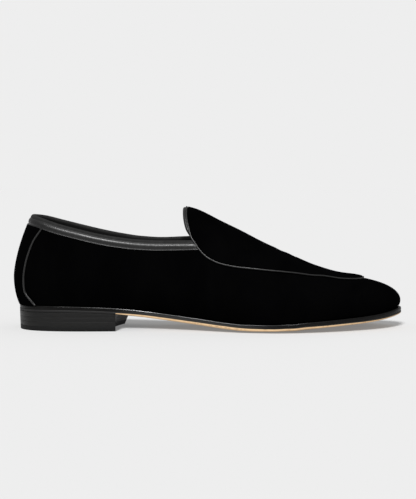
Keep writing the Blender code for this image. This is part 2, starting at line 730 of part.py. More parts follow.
def make_binding(last):
    """The leather that wraps the collar's edge, from one side of the tongue round the heel to the other."""
    end = last.throat_column - 1
    lateral = last.index["lateral"][: end + 1, last.band_row : last.edge_row + 1]
    medial = last.index["medial"][: end + 1, last.band_row : last.edge_row + 1]
    ids = np.concatenate([lateral[::-1], medial[1:]])
    faces = []
    for outside in (True, False):
        layer = GAP + BINDING_THICKNESS if outside else GAP
        rings = []
        for row in ids:
            points, normals = last.points[row], last.normals[row]
            centre = points[-1] - normals[-1] * WALL / 2
            up = points[-1] - points[-2]
            up /= np.linalg.norm(up)
            radius = WALL / 2 + layer
            turns = np.linspace(0, math.pi, ROLL_STEPS + 2)[1:-1]
            roll = [centre + radius * (normals[-1] * math.cos(a) + up * math.sin(a)) for a in turns]
            down = points - normals * (WALL + layer)
            rings.append(np.vstack([points + normals * layer, roll, down[::-1]]))
        faces.append(rings)
    rings = [np.vstack([outer, inner[::-1]]) for outer, inner in zip(*faces)]
    return loft("topline_binding", rings, TRIM_LEATHER)


def sole_shares(last):
    """The shares at which the sole's plates have their columns, the same as the upper's foot."""
    strip = BACK_STRIP_WIDTH / last.sides["lateral"]["length"] / 2
    front = int(QUARTER_COLUMNS * 1.2)
    total = last.toe_column
    return np.concatenate(
        [
            np.linspace(0, strip, STRIP_COLUMNS + 1)[:-1],
            np.linspace(strip, 0.5, front + 1)[:-1],
            np.linspace(0.5, 1, total - STRIP_COLUMNS - front + 1),
        ]
    )


def plate_rings(last, inset, bottom, top, reaches, low_bevel=0.0, high_bevel=0.0):
    """Closed outlines of a plate, from the middle of its underside round its edge to the middle of its top.

    inset is how far the plate's edge lies inside the sole's edge on each side, as a function of the side."""
    shares = sole_shares(last)
    runs = []
    for name in ("lateral", "medial"):
        side = last.sides[name]
        edge = at_share(side, "sole", shares) - at_share(side, "out", shares) * inset(side, shares)
        runs.append((edge, at_share(side, "axis", shares), at_share(side, "out", shares)))
    edge = np.concatenate([runs[0][0], runs[1][0][-2:0:-1]])
    axis = np.concatenate([runs[0][1], runs[1][1][-2:0:-1]])
    out = np.concatenate([runs[0][2], runs[1][2][-2:0:-1]])
    rings = []
    for reach in reaches:
        plan = axis + (edge - out * low_bevel - axis) * reach
        rings.append(np.column_stack([plan, bottom(plan[:, 0], reach)]))
    if low_bevel:
        rings.append(np.column_stack([edge, bottom(edge[:, 0], 1.0) + low_bevel]))
    if high_bevel:
        rings.append(np.column_stack([edge, top(edge[:, 0], 1.0) - high_bevel]))
    for reach in reversed(reaches):
        plan = axis + (edge - out * high_bevel - axis) * reach
        rings.append(np.column_stack([plan, top(plan[:, 0], reach)]))
    return rings


def plate(name, last, rings, finish):
    """A plate from its rings. Its first and last rings lie on the axis, where both sides meet."""
    size = len(rings[0])
    half = size // 2
    points = np.concatenate(rings)
    weld = np.arange(len(points))
    for ring in (0, len(rings) - 1):
        for j in range(1, half):
            weld[ring * size + size - j] = ring * size + j
    faces = []
    for i in range(len(rings) - 1):
        for j in range(size):
            k = (j + 1) % size
            corners = [i * size + j, i * size + k, (i + 1) * size + k, (i + 1) * size + j]
            faces.append([int(weld[c]) for c in corners])
    return make_object(name, *without_loose(points, tidy_faces(faces)), finish)


def without_loose(points, faces):
    """Drops the points that no face uses."""
    used = sorted({corner for face in faces for corner in face})
    place = {corner: i for i, corner in enumerate(used)}
    return points[used], [[place[c] for c in face] for face in faces]


def no_inset(side, shares):
    return np.zeros((len(shares), 1))


def insole_inset(side, shares):
    """The insole's edge lies inside the upper's wall all round."""
    show = np.linalg.norm(at_share(side, "sole", shares) - at_share(side, "foot", shares), axis=1)
    return (show + WALL * 1.15 + 3 * GAP)[:, None]


def make_outsole(last):
    def top(x, reach):
        return underside(x, reach) + OUTSOLE_THICKNESS

    rings = plate_rings(
        last, no_inset, underside, top, (0.0, TREAD_FLAT_SHARE, 1.0), low_bevel=SOLE_EDGE_BEVEL
    )
    return plate("outsole", last, rings, SOLE_LEATHER)


def make_midsole(last):
    rings = plate_rings(
        last, no_inset, midsole_bottom, sole_top, (0.0, TREAD_FLAT_SHARE, 1.0), high_bevel=SOLE_EDGE_BEVEL
    )
    return plate("midsole", last, rings, EDGE_LEATHER)


def make_insole(last):
    def bottom(x, reach):
        return sole_top(x, reach) + GAP

    def top(x, reach):
        return bottom(x, reach) + INSOLE_THICKNESS

    rings = plate_rings(last, insole_inset, bottom, top, (0.0, TREAD_FLAT_SHARE, 1.0))
    return plate("insole", last, rings, LINING_LEATHER)


def heel_level(last, inset, height):
    """A grid of points across the heel at one level, from the back to the bowed breast."""
    runs = []
    medial_breast = HEEL_BREAST_MEDIAL - HEEL_BREAST_SLANT * inset / HEEL_TAPER
    for name, breast in (("lateral", HEEL_BREAST_LATERAL), ("medial", medial_breast)):
        side = last.sides[name]
        dense = np.linspace(0, 1, DENSE_COLUMNS)
        end = np.interp(breast, side["sole"][: DENSE_COLUMNS // 2, 0], dense[: DENSE_COLUMNS // 2])
        shares = end * (np.arange(HEEL_COLUMNS + 1) / HEEL_COLUMNS) ** 1.3
        runs.append(at_share(side, "sole", shares) - at_share(side, "out", shares) * inset)
    across = np.linspace(0, 1, HEEL_CROSS_ROWS + 1)[None, :, None]
    plan = runs[0][:, None, :] * (1 - across) + runs[1][:, None, :] * across
    forward = (np.arange(HEEL_COLUMNS + 1) / HEEL_COLUMNS) ** 2
    bow = HEEL_BREAST_BOW * np.sin(across[..., 0] * math.pi) * forward[:, None]
    plan[..., 0] -= bow
    return np.concatenate([plan, height(plan[..., 0])[..., None]], axis=-1)


def make_heel_layer(name, last, low, high, finish):
    """One layer of the heel between two levels, each given as its inset and its height."""
    levels = [heel_level(last, *low), heel_level(last, *high)]
    columns, rows = levels[0].shape[:2]
    points = np.concatenate([level.reshape(-1, 3) for level in levels])
    index = np.arange(columns * rows).reshape(columns, rows)
    index[0, :] = index[0, 0]
    bottom = [
        [index[i, j], index[i, j + 1], index[i + 1, j + 1], index[i + 1, j]]
        for i in range(columns - 1)
        for j in range(rows - 1)
    ]
    count = columns * rows
    top = [[c + count for c in reversed(face)] for face in bottom]
    sides = boundary_sides(bottom, count)
    return make_object(name, *without_loose(points, tidy_faces(bottom + top + sides)), finish)


def make_heel(last):
    """The top piece on the floor, then leather lifts, of which the highest follows the sole."""
    stack_top = HEEL_HEIGHT - GAP
    lift = (stack_top - TOP_PIECE_THICKNESS - LIFT_COUNT * GAP) / LIFT_COUNT
    breast_drop = HEEL_HEIGHT - float(underside(np.array(HEEL_BREAST_MEDIAL)))
    if lift < breast_drop + GAP:
        lift = breast_drop + GAP

    def inset_at(z):
        return HEEL_TAPER * (1 - z / HEEL_HEIGHT)

    def flat(z):
        return inset_at(z), lambda x: np.full_like(x, z)

    pieces = [make_heel_layer("heel_top_piece", last, flat(0.0), flat(TOP_PIECE_THICKNESS), HEEL_RUBBER)]
    low = TOP_PIECE_THICKNESS + GAP
    for number in range(1, LIFT_COUNT):
        pieces.append(
            make_heel_layer(f"heel_lift_{number}", last, flat(low), flat(low + lift), HEEL_LEATHER)
        )
        low += lift + GAP

    def seat(x):
        return underside(x) - GAP

    last_lift = f"heel_lift_{LIFT_COUNT}"
    pieces.append(make_heel_layer(last_lift, last, flat(low), (inset_at(stack_top), seat), HEEL_LEATHER))
    return pieces


def centre_on_floor(pieces):
    """Moves the shoe so that the origin lies on the floor below the middle of its box."""
    points = np.concatenate([np.array([v.co for v in piece.data.vertices]) for piece in pieces])
    middle = (points.min(axis=0) + points.max(axis=0)) / 2
    carrier = bpy.data.objects.new("shoe", None)
    bpy.context.scene.collection.objects.link(carrier)
    carrier.location = (-middle[0], -middle[1], -points[:, 2].min())
    for piece in pieces:
        piece.parent = carrier


def main():
    for old in list(bpy.data.objects):
        bpy.data.objects.remove(old)
    last = Last()
    pieces = [
        make_upper(last),
        make_plug(last),
        make_back_strip(last),
        make_plug_piping(last),
        make_back_piping(last, "lateral", 1),
        make_back_piping(last, "medial", -1),
        make_binding(last),
        make_insole(last),
        make_midsole(last),
        make_outsole(last),
    ]
    pieces += make_heel(last)
    centre_on_floor(pieces)


main()
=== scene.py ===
import json
import math

import bpy
import numpy as np
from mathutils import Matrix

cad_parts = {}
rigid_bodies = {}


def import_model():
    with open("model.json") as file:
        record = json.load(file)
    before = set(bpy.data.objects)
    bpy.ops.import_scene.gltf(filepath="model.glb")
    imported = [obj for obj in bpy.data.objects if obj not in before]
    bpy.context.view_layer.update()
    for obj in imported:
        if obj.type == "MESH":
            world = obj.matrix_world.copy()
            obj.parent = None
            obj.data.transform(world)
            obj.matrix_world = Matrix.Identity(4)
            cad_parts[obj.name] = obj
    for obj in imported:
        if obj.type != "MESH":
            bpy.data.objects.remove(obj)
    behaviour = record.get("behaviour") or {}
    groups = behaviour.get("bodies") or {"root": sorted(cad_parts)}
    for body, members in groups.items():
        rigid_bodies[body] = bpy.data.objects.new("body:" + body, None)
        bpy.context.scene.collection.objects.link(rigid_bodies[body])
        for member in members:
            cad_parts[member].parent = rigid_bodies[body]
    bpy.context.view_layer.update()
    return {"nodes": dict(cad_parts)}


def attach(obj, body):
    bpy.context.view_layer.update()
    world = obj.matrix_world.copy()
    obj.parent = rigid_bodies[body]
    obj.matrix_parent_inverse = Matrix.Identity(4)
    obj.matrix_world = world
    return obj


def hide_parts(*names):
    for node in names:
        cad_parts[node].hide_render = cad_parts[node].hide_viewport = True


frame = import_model()
mm = 0.001
print("frame loaded,", len(frame["nodes"]), "nodes")

# Velvet slipper loafer, right foot. +X toe, +Y inner side, -Y outer side and camera, +Z up, metres.

# sizes that every piece is cut from; widths and heights as on the CAD solids
last = {
    "place": (-0.1470025, -0.00025546, 0.0),  # back of the sole and its axis, in the frame
    "soleLength": 298.5 * mm,
    "ballWidth": 101.0 * mm,
    "waistWidth": 56.0 * mm,
    "heelWidth": 63.0 * mm,
    "heelHeight": 14.3 * mm,
    "toeSpring": 12.2 * mm,
    "edgeLift": 1.8 * mm,  # how far the rounded tread rises to its edge at the ball
    "treadFlat": 0.5,  # share of the half width that lies flat
    "outsole": 2.0 * mm,
    "midsole": 2.6 * mm,
    "instep": 93.2 * mm,  # the crown's heights are shares of it
    "collarBack": 88.2 * mm,  # the collar's heights are shares of it
    "backOverhang": 3.3 * mm,
    "backRise": 21.7 * mm,  # height of the widest line above the sole, at the back
    "weltShow": 2.8 * mm,
    "tuck": math.radians(50),  # how far round the upper turns in below its widest line
    "wall": 2.0 * mm,  # velvet and lining together
    "gap": 0.3 * mm,
    "throat": 137.2 * mm,
    "tongueReach": 9.4 * mm,  # how far back the tongue's edge bows over the instep
    "bindingDepth": 6.6 * mm,
    "stripWidth": 48.0 * mm,
    "heelCentre": 0.105,  # shares of length between which the upper's axis runs
    "toeCentre": 0.865,
}

# share of length, width it follows, share of that width, flare of the upper, welt that shows
backPoint = (0.0, "heelWidth", 0.010, 1.0, 0.28)
toePoint = (1.0, "ballWidth", 0.045, -0.18, 1.0)
lateralEdge = [
    (0.030, "heelWidth", 0.340, 0.95, 0.30),
    (0.115, "heelWidth", 0.500, 0.75, 0.36),
    (0.253, "heelWidth", 0.500, 0.85, 0.48),
    (0.385, "waistWidth", 0.580, 1.30, 0.57),
    (0.520, "ballWidth", 0.404, 0.48, 0.75),
    (0.650, "ballWidth", 0.490, -0.14, 0.86),
    (0.762, "ballWidth", 0.474, -0.30, 0.93),
    (0.865, "ballWidth", 0.372, -0.34, 0.96),
    (0.948, "ballWidth", 0.222, -0.28, 1.0),
]
medialEdge = [
    (0.030, "heelWidth", 0.360, 0.95, 0.30),
    (0.108, "heelWidth", 0.495, 0.75, 0.36),
    (0.245, "heelWidth", 0.450, 1.20, 0.48),
    (0.380, "waistWidth", 0.420, 2.20, 0.57),
    (0.500, "waistWidth", 0.490, 1.60, 0.70),
    (0.615, "ballWidth", 0.410, 0.28, 0.84),
    (0.715, "ballWidth", 0.497, -0.17, 0.90),
    (0.800, "ballWidth", 0.482, -0.30, 0.94),
    (0.880, "ballWidth", 0.404, -0.34, 0.97),
    (0.950, "ballWidth", 0.280, -0.28, 1.0),
]

# share of length, height in heel heights, height in toe springs, rise to the edge
soleProfile = np.array([
    (-0.020, 1.000, 0.0, 0.0),
    (0.100, 1.000, 0.0, 0.0),
    (0.190, 0.968, 0.0, 0.0),
    (0.253, 0.900, 0.0, 0.0),
    (0.315, 0.770, 0.0, 0.15),
    (0.368, 0.610, 0.0, 0.35),
    (0.420, 0.440, 0.0, 0.60),
    (0.473, 0.283, 0.0, 0.75),
    (0.526, 0.128, 0.0, 0.85),
    (0.575, 0.022, 0.0, 0.95),
    (0.605, 0.000, 0.0, 1.0),
    (0.655, 0.000, 0.0, 1.05),
    (0.700, 0.0, 0.0, 1.40),
    (0.735, 0.0, 0.070, 1.45),
    (0.787, 0.0, 0.205, 1.10),
    (0.840, 0.0, 0.340, 0.80),
    (0.892, 0.0, 0.465, 0.55),
    (0.945, 0.0, 0.642, 0.28),
    (0.980, 0.0, 0.825, 0.10),
    (1.020, 0.0, 1.060, 0.0),
])

# share of length, rise of the widest line, crown height, squareness beside and on top, crown's place across
sections = np.array([
    (-0.020, 1.00, 1.412, 1.50, 1.00, 0.005),
    (0.186, 0.88, 1.255, 1.50, 1.15, 0.000),
    (0.314, 0.80, 1.137, 1.55, 1.40, 0.000),
    (0.429, 0.74, 1.010, 1.60, 1.80, 0.005),
    (0.463, 0.72, 0.976, 1.65, 1.85, 0.008),
    (0.525, 0.66, 0.878, 1.80, 1.95, 0.012),
    (0.580, 0.63, 0.792, 1.88, 2.00, 0.015),
    (0.630, 0.60, 0.708, 1.95, 2.00, 0.018),
    (0.714, 0.55, 0.585, 2.00, 2.00, 0.025),
    (0.777, 0.50, 0.501, 2.00, 2.05, 0.031),
    (0.840, 0.44, 0.445, 2.00, 2.10, 0.037),
    (0.881, 0.38, 0.429, 2.00, 2.15, 0.041),
    (0.925, 0.31, 0.413, 2.05, 2.20, 0.044),
    (1.020, 0.20, 0.398, 2.10, 2.20, 0.045),
])

# share of length, collar height on the outer side, on the inner side
collar = np.array([
    (0.020, 1.004, 1.004),
    (0.054, 0.976, 0.989),
    (0.106, 0.921, 0.944),
    (0.159, 0.875, 0.898),
    (0.211, 0.834, 0.856),
    (0.263, 0.804, 0.821),
    (0.316, 0.785, 0.795),
    (0.369, 0.778, 0.785),
    (0.430, 0.780, 0.793),
    (0.500, 0.786, 0.806),
])

# share of length, height of the plug's edge between the widest line and the crown
plugEdge = np.array([
    (0.478, 0.560),
    (0.497, 0.516),
    (0.522, 0.504),
    (0.560, 0.521),
    (0.630, 0.595),
    (0.700, 0.675),
    (0.780, 0.767),
    (0.840, 0.850),
    (0.900, 0.885),
    (0.950, 0.915),
    (0.980, 0.950),
    (1.000, 0.982),
])

# share of the wall's height, half width of the back strip in strip widths
stripEdge = np.array([(0.0, 0.643), (0.2, 0.484), (0.5, 0.487), (0.8, 0.520), (1.0, 0.600)])

# how finely the sheet is cut; steps are the distances of the rows or columns next to an edge
cut = {
    "dense": 1401,
    "denseRows": 161,
    "outlineSpan": 180,  # points between two knots of the sole's outline
    "wallRows": 40,
    "bandSteps": np.array([6.6, 5.6, 4.6, 3.7, 2.9, 2.2, 1.6, 1.1, 0.7, 0.35, 0.0]) * mm,
    "rimSteps": np.array([0.12, 0.28, 0.5, 0.8, 1.2, 1.8, 2.6]) * mm,
    "plugRows": 22,
    "plugStart": 0.004,  # share of length past the throat where plugEdge's rows begin to count
    "stripColumns": 14,
    "stripFade": 6 / 13,  # share of the way to the throat over which the strip's bend dies out
    "quarterColumns": 92,
    "throatColumns": 5,
    "throatBand": 5.0 * mm,  # length of collar beside the throat that has columns of its own
    "vampColumns": 124,
    "vampFade": 8 / 26,  # share of the way to the toe over which the tongue's bow dies out
    "plateColumns": 190,
    "plateRim": 8 * mm,  # a plate's flat middle ends this far inside its edge
}


# Hermite span: start * (1 + 2t) (1 - t)^2 + end * t^2 (3 - 2t), plus each end's tangent times the span.
def hermite(t, span, start, end, startTangent, endTangent):
    return (
        start * (1 + 2 * t) * (1 - t) ** 2
        + startTangent * span * t * (1 - t) ** 2
        + end * t**2 * (3 - 2 * t)
        - endTangent * span * t**2 * (1 - t)
    )


# Monotone cubic: Hermite spans with weighted harmonic means of the neighbouring slopes as tangents.
def smoothThrough(at, places, values):
    step = np.diff(places)
    slope = np.diff(values) / step
    before, after = slope[:-1], slope[1:]
    weightBefore = 2 * step[1:] + step[:-1]
    weightAfter = step[1:] + 2 * step[:-1]
    sameWay = before * after > 0
    mean = (weightBefore + weightAfter) / (
        weightBefore / np.where(sameWay, before, 1) + weightAfter / np.where(sameWay, after, 1)
    )
    tangent = np.concatenate([slope[:1], np.where(sameWay, mean, 0), slope[-1:]])
    at = np.clip(at, places[0], places[-1])
    cell = np.clip(np.searchsorted(places, at, side="right") - 1, 0, len(step) - 1)
    t = (at - places[cell]) / step[cell]
    return hermite(t, step[cell], values[cell], values[cell + 1], tangent[cell], tangent[cell + 1])


# Periodic cubic spline over chord lengths: solves for tangents that make the curvature continuous.
def closedSpline(points, perSpan):
    count = len(points)
    here = np.arange(count)
    chord = np.linalg.norm((np.roll(points, -1, axis=0) - points)[:, :2], axis=1)
    back = np.roll(chord, 1)
    ahead = np.roll(points, -1, axis=0)
    behind = np.roll(points, 1, axis=0)
    system = np.zeros((count, count))
    system[here, here - 1] = chord
    system[here, here] = 2 * (back + chord)
    system[here, (here + 1) % count] = back
    right = 3 * (
        chord[:, None] * (points - behind) / back[:, None]
        + back[:, None] * (ahead - points) / chord[:, None]
    )
    tangent = np.linalg.solve(system, right)
    t = (np.arange(perSpan) / perSpan)[None, :, None]
    curve = hermite(t, chord[:, None, None], points[:, None], ahead[:, None], tangent[:, None],
                    np.roll(tangent, -1, axis=0)[:, None])
    return curve.reshape(-1, points.shape[1])


# Underside height: the axis profile plus a parabola that starts where the flat tread ends.
def underside(x, reach):
    along = x / last["soleLength"]
    axisHeights = soleProfile[:, 1] * last["heelHeight"] + soleProfile[:, 2] * last["toeSpring"]
    lift = last["edgeLift"] * smoothThrough(along, soleProfile[:, 0], soleProfile[:, 3])
    past = np.clip(reach - last["treadFlat"], 0, None) / (1 - last["treadFlat"])
    return smoothThrough(along, soleProfile[:, 0], axisHeights) + lift * past**2


# Height of the sole's top: the underside plus outsole, gap and midsole.
def soleTop(x, reach=1.0):
    return underside(x, reach) + last["outsole"] + last["gap"] + last["midsole"]


# One column of sections at x, smooth between its rows.
def sectionValue(x, column):
    return smoothThrough(x / last["soleLength"], sections[:, 0], sections[:, column])


# Straight interpolation in every column of a table at once.
def alongTable(wanted, places, table):
    return np.stack([np.interp(wanted, places, column) for column in table.T], axis=-1)


# Outline of each side from back to toe: sole edge, outward direction, widest line, foot of the wall.
def sideOutlines():
    def rows(table, side):
        return [
            (row[0] * last["soleLength"], side * row[2] * last[row[1]],
             row[3] * last["backOverhang"], row[4] * last["weltShow"])
            for row in table
        ]

    knots = rows([backPoint], 1) + rows(lateralEdge, -1) + rows([toePoint], 1) + rows(medialEdge[::-1], 1)
    perSpan = cut["outlineSpan"]
    loop = closedSpline(np.array(knots), perSpan)
    tangent = np.roll(loop, -1, axis=0)[:, :2] - np.roll(loop, 1, axis=0)[:, :2]
    tangent /= np.linalg.norm(tangent, axis=1)[:, None]
    table = np.column_stack([loop[:, :2], tangent[:, 1], -tangent[:, 0], loop[:, 2:]])
    toe = perSpan * (len(lateralEdge) + 1)
    runs = {"lateral": table[: toe + 1], "medial": np.vstack([table[toe:], table[:1]])[::-1]}
    share = np.linspace(0, 1, cut["dense"])
    sides = {}
    for name, run in runs.items():
        reach = arcLengths(run[:, :2], 0)
        even = alongTable(share * reach[-1], reach, run)
        sole, out = even[:, :2], even[:, 2:4]
        sides[name] = {
            "length": reach[-1], "sole": sole, "out": out,
            "widest": sole + out * even[:, 4:5], "foot": sole - out * even[:, 5:6],
        }
    meanX = (sides["lateral"]["sole"][:, 0] + sides["medial"]["sole"][:, 0]) / 2
    axisX = last["soleLength"] * last["heelCentre"] + (last["toeCentre"] - last["heelCentre"]) * meanX
    axisY = last["ballWidth"] * sectionValue(axisX, 5)
    for side in sides.values():
        widestX = side["widest"][:, 0]
        side["axis"] = np.stack([axisX, axisY], axis=1)
        side["rise"] = last["backRise"] * sectionValue(widestX, 1)
        side["sidePower"] = sectionValue(widestX, 3)
        side["crownPower"] = sectionValue(widestX, 4)
    return sides


# A side's values at shares of its outline from back to toe.
def atShare(side, name, share):
    even, values = np.linspace(0, 1, cut["dense"]), side[name]
    return np.interp(share, even, values) if values.ndim == 1 else alongTable(share, even, values)


# The upper's face. climb -1 to 0: an arc that tucks in to the foot. climb 0 to 1: a superellipse from the
# widest line to the crown, on a ray from the outline to the axis.
def lastSurface(side, share, climb):
    share, climb = np.broadcast_arrays(share, climb)
    widest, foot, axis = (atShare(side, name, share) for name in ("widest", "foot", "axis"))
    footZ = soleTop(foot[..., 0]) + last["gap"]
    widestZ = soleTop(widest[..., 0]) + atShare(side, "rise", share)
    turn = np.clip(-climb, 0, 1) * last["tuck"]
    inward = ((1 - np.cos(turn)) / (1 - math.cos(last["tuck"])))[..., None]
    low = widest + (foot - widest) * inward
    lowZ = widestZ - (widestZ - footZ) * np.sin(turn) / math.sin(last["tuck"])
    angle = np.clip(climb, 0, 1) * math.pi / 2
    reach = (np.clip(np.cos(angle), 0, 1) ** (2 / atShare(side, "crownPower", share)))[..., None]
    high = axis + (widest - axis) * reach
    crownZ = last["instep"] * sectionValue(high[..., 0], 2)
    highZ = widestZ + (crownZ - widestZ) * np.sin(angle) ** (2 / atShare(side, "sidePower", share))
    below = climb < 0
    plan = np.where(below[..., None], low, high)
    return np.concatenate([plan, np.where(below, lowZ, highZ)[..., None]], axis=-1)


# Linear look-up in every row at once; a cell is the count of places at or below the wanted one.
def lookUpRows(wanted, places, values):
    cell = (places[:, None, :] <= wanted[:, :, None]).sum(-1) - 1
    cell = np.clip(cell, 0, places.shape[1] - 2)
    low, high = np.take_along_axis(places, cell, 1), np.take_along_axis(places, cell + 1, 1)
    start, end = np.take_along_axis(values, cell, 1), np.take_along_axis(values, cell + 1, 1)
    return start + (end - start) * np.clip((wanted - low) / np.maximum(high - low, 1e-12), 0, 1)


# Lengths from the first point to each one along an axis: the running sum of the steps.
def arcLengths(points, axis):
    steps = np.linalg.norm(np.diff(points, axis=axis), axis=-1)
    zero = np.zeros_like(np.take(steps, [0], axis=axis))
    return np.concatenate([zero, np.cumsum(steps, axis=axis)], axis=axis)


# Climb at which each column of a side meets the collar's height, and the x there.
def collarClimb(side, column):
    share, climb = np.linspace(0, 1, cut["dense"]), np.linspace(0, 1, cut["denseRows"])
    points = lastSurface(side, share[:, None], climb[None, :])
    edge = last["collarBack"] * smoothThrough(
        points[..., 0] / last["soleLength"], collar[:, 0], collar[:, column]
    )
    above = points[..., 2] - edge + last["gap"] + bindingTrim["thickness"]
    first = np.clip(np.argmax(above > 0, axis=1), 1, cut["denseRows"] - 1)
    rows = np.arange(cut["dense"])
    low, high = above[rows, first - 1], above[rows, first]
    found = climb[first - 1] + (climb[first] - climb[first - 1]) * np.clip(-low / (high - low), 0, 1)
    return found, lastSurface(side, share, found)[:, 0]


bindingTrim = {
    "thickness": 0.8 * mm,
    # distance below the collar's edge and height of the leather above the sheet: lower lip, stitched seam,
    # padded shoulder, valley, lip at the edge
    "profile": np.array([
        (6.60, 0.05), (6.66, 0.42), (6.64, 0.70), (6.55, 0.86), (6.42, 0.87), (6.20, 0.78), (6.00, 0.67),
        (5.86, 0.56), (5.74, 0.56), (5.45, 0.74), (5.0, 0.96), (4.5, 1.16), (3.9, 1.33), (3.3, 1.43),
        (2.7, 1.43), (2.1, 1.36), (1.7, 1.22), (1.3, 1.01), (1.0, 0.86), (0.80, 0.82), (0.60, 0.86),
        (0.40, 0.94), (0.25, 0.98), (0.10, 0.96),
    ]) * mm,
    # distance below the edge and height above the wall, on the inner face
    "inside": np.array([
        (0.2, 1.1), (1.2, 1.0), (2.4, 1.05), (3.6, 1.05), (4.8, 0.95), (5.6, 0.8), (6.2, 0.7), (6.5, 0.3),
    ]) * mm,
    "hidden": np.array([6.4, 3.0, 0.3]) * mm,  # distances below the edge of the side that lies on the wall
    "insideLift": 0.05 * mm,  # height of that side above the wall, inside and over the edge, and outside
    "outsideLift": 0.04 * mm,
    "seam": 5.80 * mm,
    "rollSteps": 14,
    # power of the roll's sine and cosine, outside and inside: 1 is half round, more is a ridge, less squarer
    "ridge": (1.1, 0.8),
    "endTaper": 6.0 * mm,
    "endTaperStart": 0.8 * mm,
    "endThickness": 0.62,  # share of the thickness at the throat, and of that what goes beyond it
    "endThinning": 0.5,
    "endRings": 4,
    "endStep": 0.3 * mm,
    "endSlant": 0.8,  # how far the lower edge runs on ahead under the plug's piping, by depth
    "stitchPitch": 2.3 * mm,
    "stitchLength": 1.55 * mm,
    "stitchWidth": 0.34 * mm,
    "stitchLift": 0.55 * mm,
    "stitchArch": 0.22 * mm,
    "stitchPower": 2.5,  # how blunt the ends of a stitch are
    "stitchCut": (7, 8),  # rings, and points round each
}


# Rows of one side: share of the throat, climb of each row at the dense columns, and how far the rows over the
# plug lie on the way to the crown. They are even over the wall, then at fixed steps beside the edge.
def sideRows(side, column):
    dense = np.linspace(0, 1, cut["dense"])
    found, foundX = collarClimb(side, column)
    throat = float(np.interp(last["throat"], foundX, dense))
    throatClimb = float(np.interp(throat, dense, found))
    throatAlong = float(np.interp(throat, dense, side["widest"][:, 0])) / last["soleLength"]
    power = side["sidePower"]
    throatHeight = math.sin(throatClimb * math.pi / 2) ** (2 / np.interp(throat, dense, power))
    rows = plugEdge[plugEdge[:, 0] > throatAlong + cut["plugStart"]]
    rows = np.vstack([(throatAlong, throatHeight), rows])
    level = smoothThrough(side["widest"][:, 0] / last["soleLength"], rows[:, 0], rows[:, 1])
    plug = np.arcsin(np.clip(level, 0, 1) ** (power / 2)) * 2 / math.pi
    edge = np.where(dense <= throat, found, plug)
    t = np.linspace(0, 1, cut["denseRows"])
    rimSteps = cut["rimSteps"]

    def wallLengths(total):
        even = (total - last["bindingDepth"]) * np.linspace(0, 1, cut["wallRows"] + 1)
        return np.hstack([even, total - cut["bandSteps"][1:]])

    def plugLengths(total):
        rest = rimSteps[-1] + (total - rimSteps[-1]) * np.linspace(0, 1, cut["plugRows"] + 1)[1:]
        return np.hstack([np.broadcast_to(rimSteps, (len(total), len(rimSteps))), rest])

    def between(start, end, lengths):
        climb = start[:, None] * (1 - t) + end[:, None] * t
        reach = arcLengths(lastSurface(side, dense[:, None], climb), 1)
        wanted = lengths(reach[:, -1:])
        return lookUpRows(wanted, reach, climb), wanted / reach[:, -1:]

    wallClimbs, _ = between(np.full_like(edge, -1.0), edge, wallLengths)
    plugClimbs, plugShare = between(edge, np.ones_like(edge), plugLengths)
    return throat, np.hstack([wallClimbs, plugClimbs]), plugShare


# Columns of one side as shares of its length, close together beside the back strip's edge and the throat.
def sideColumns(length, throat, strip):
    bindingEnd = throat - cut["throatBand"] / length
    near = cut["rimSteps"][::-1] / length
    vampStart = throat + cut["rimSteps"] / length
    return np.concatenate([
        np.linspace(0, strip - near[0], cut["stripColumns"] + 1), strip - near[1:], [strip],
        np.linspace(strip, bindingEnd, cut["quarterColumns"] + 1)[1:],
        np.linspace(bindingEnd, throat, cut["throatColumns"] + 1)[1:],
        vampStart, np.linspace(vampStart[-1], 1, cut["vampColumns"] + 1)[1:],
    ])


# The whole outer sheet of the upper as two grids, columns from back to toe and rows from foot to crown.
# Columns bend along the back strip's edge and, by 1 - (1 - fraction)^3 of tongueReach, along the tongue's.
def cutSheet():
    sides = sideOutlines()
    dense = np.linspace(0, 1, cut["dense"])
    meanLength = (sides["lateral"]["length"] + sides["medial"]["length"]) / 2
    bandRow = cut["wallRows"]
    edgeRow = bandRow + len(cut["bandSteps"]) - 1
    crownRow = edgeRow + len(cut["rimSteps"]) + cut["plugRows"]
    parts, bases, grids = {}, {}, {}
    for number, (name, side) in enumerate(sides.items()):
        strip = last["stripWidth"] / side["length"] / 2
        throat, climbs, plugShare = sideRows(side, number + 1)
        parts[name] = (side, strip, throat, climbs, plugShare)
        bases[name] = sideColumns(side["length"], throat, strip)
    meanBase = (bases["lateral"] + bases["medial"]) / 2
    for name, (side, strip, throat, climbs, plugShare) in parts.items():
        base = bases[name]
        count = crownRow + 1
        up = np.clip(np.arange(count) / bandRow, 0, 1)
        bend = (smoothThrough(up, stripEdge[:, 0], stripEdge[:, 1]) - 0.5) * 2 * strip
        stripFade = strip + cut["stripFade"] * (throat - strip)
        share = base[:, None] + np.interp(base, [0, strip, stripFade], [0, 1, 0])[:, None] * bend
        fraction = np.zeros((len(base), count))
        fraction[:, edgeRow + 1 :] = alongTable(base, dense, plugShare)
        vampFade = throat + cut["vampFade"] * (1 - throat)
        near = np.interp(base, [throat - 1e-9, throat, vampFade], [0, 1, 0])[:, None]
        share -= near * (1 - (1 - fraction) ** 3) * last["tongueReach"] / meanLength
        share += (meanBase - base)[:, None] * fraction**2
        climb = np.stack([np.interp(share[:, i], dense, climbs[:, i]) for i in range(count)], axis=1)
        points = lastSurface(side, share, climb)
        points[:, crownRow, :2] = atShare(side, "axis", share[:, crownRow])
        grids[name] = points
    stripColumn = cut["stripColumns"] + len(cut["rimSteps"])
    return {
        "sides": sides, "grids": grids, "bandRow": bandRow, "edgeRow": edgeRow, "crownRow": crownRow,
        "stripColumn": stripColumn, "toeColumn": len(meanBase) - 1,
        "throatColumn": stripColumn + cut["quarterColumns"] + cut["throatColumns"],
    }


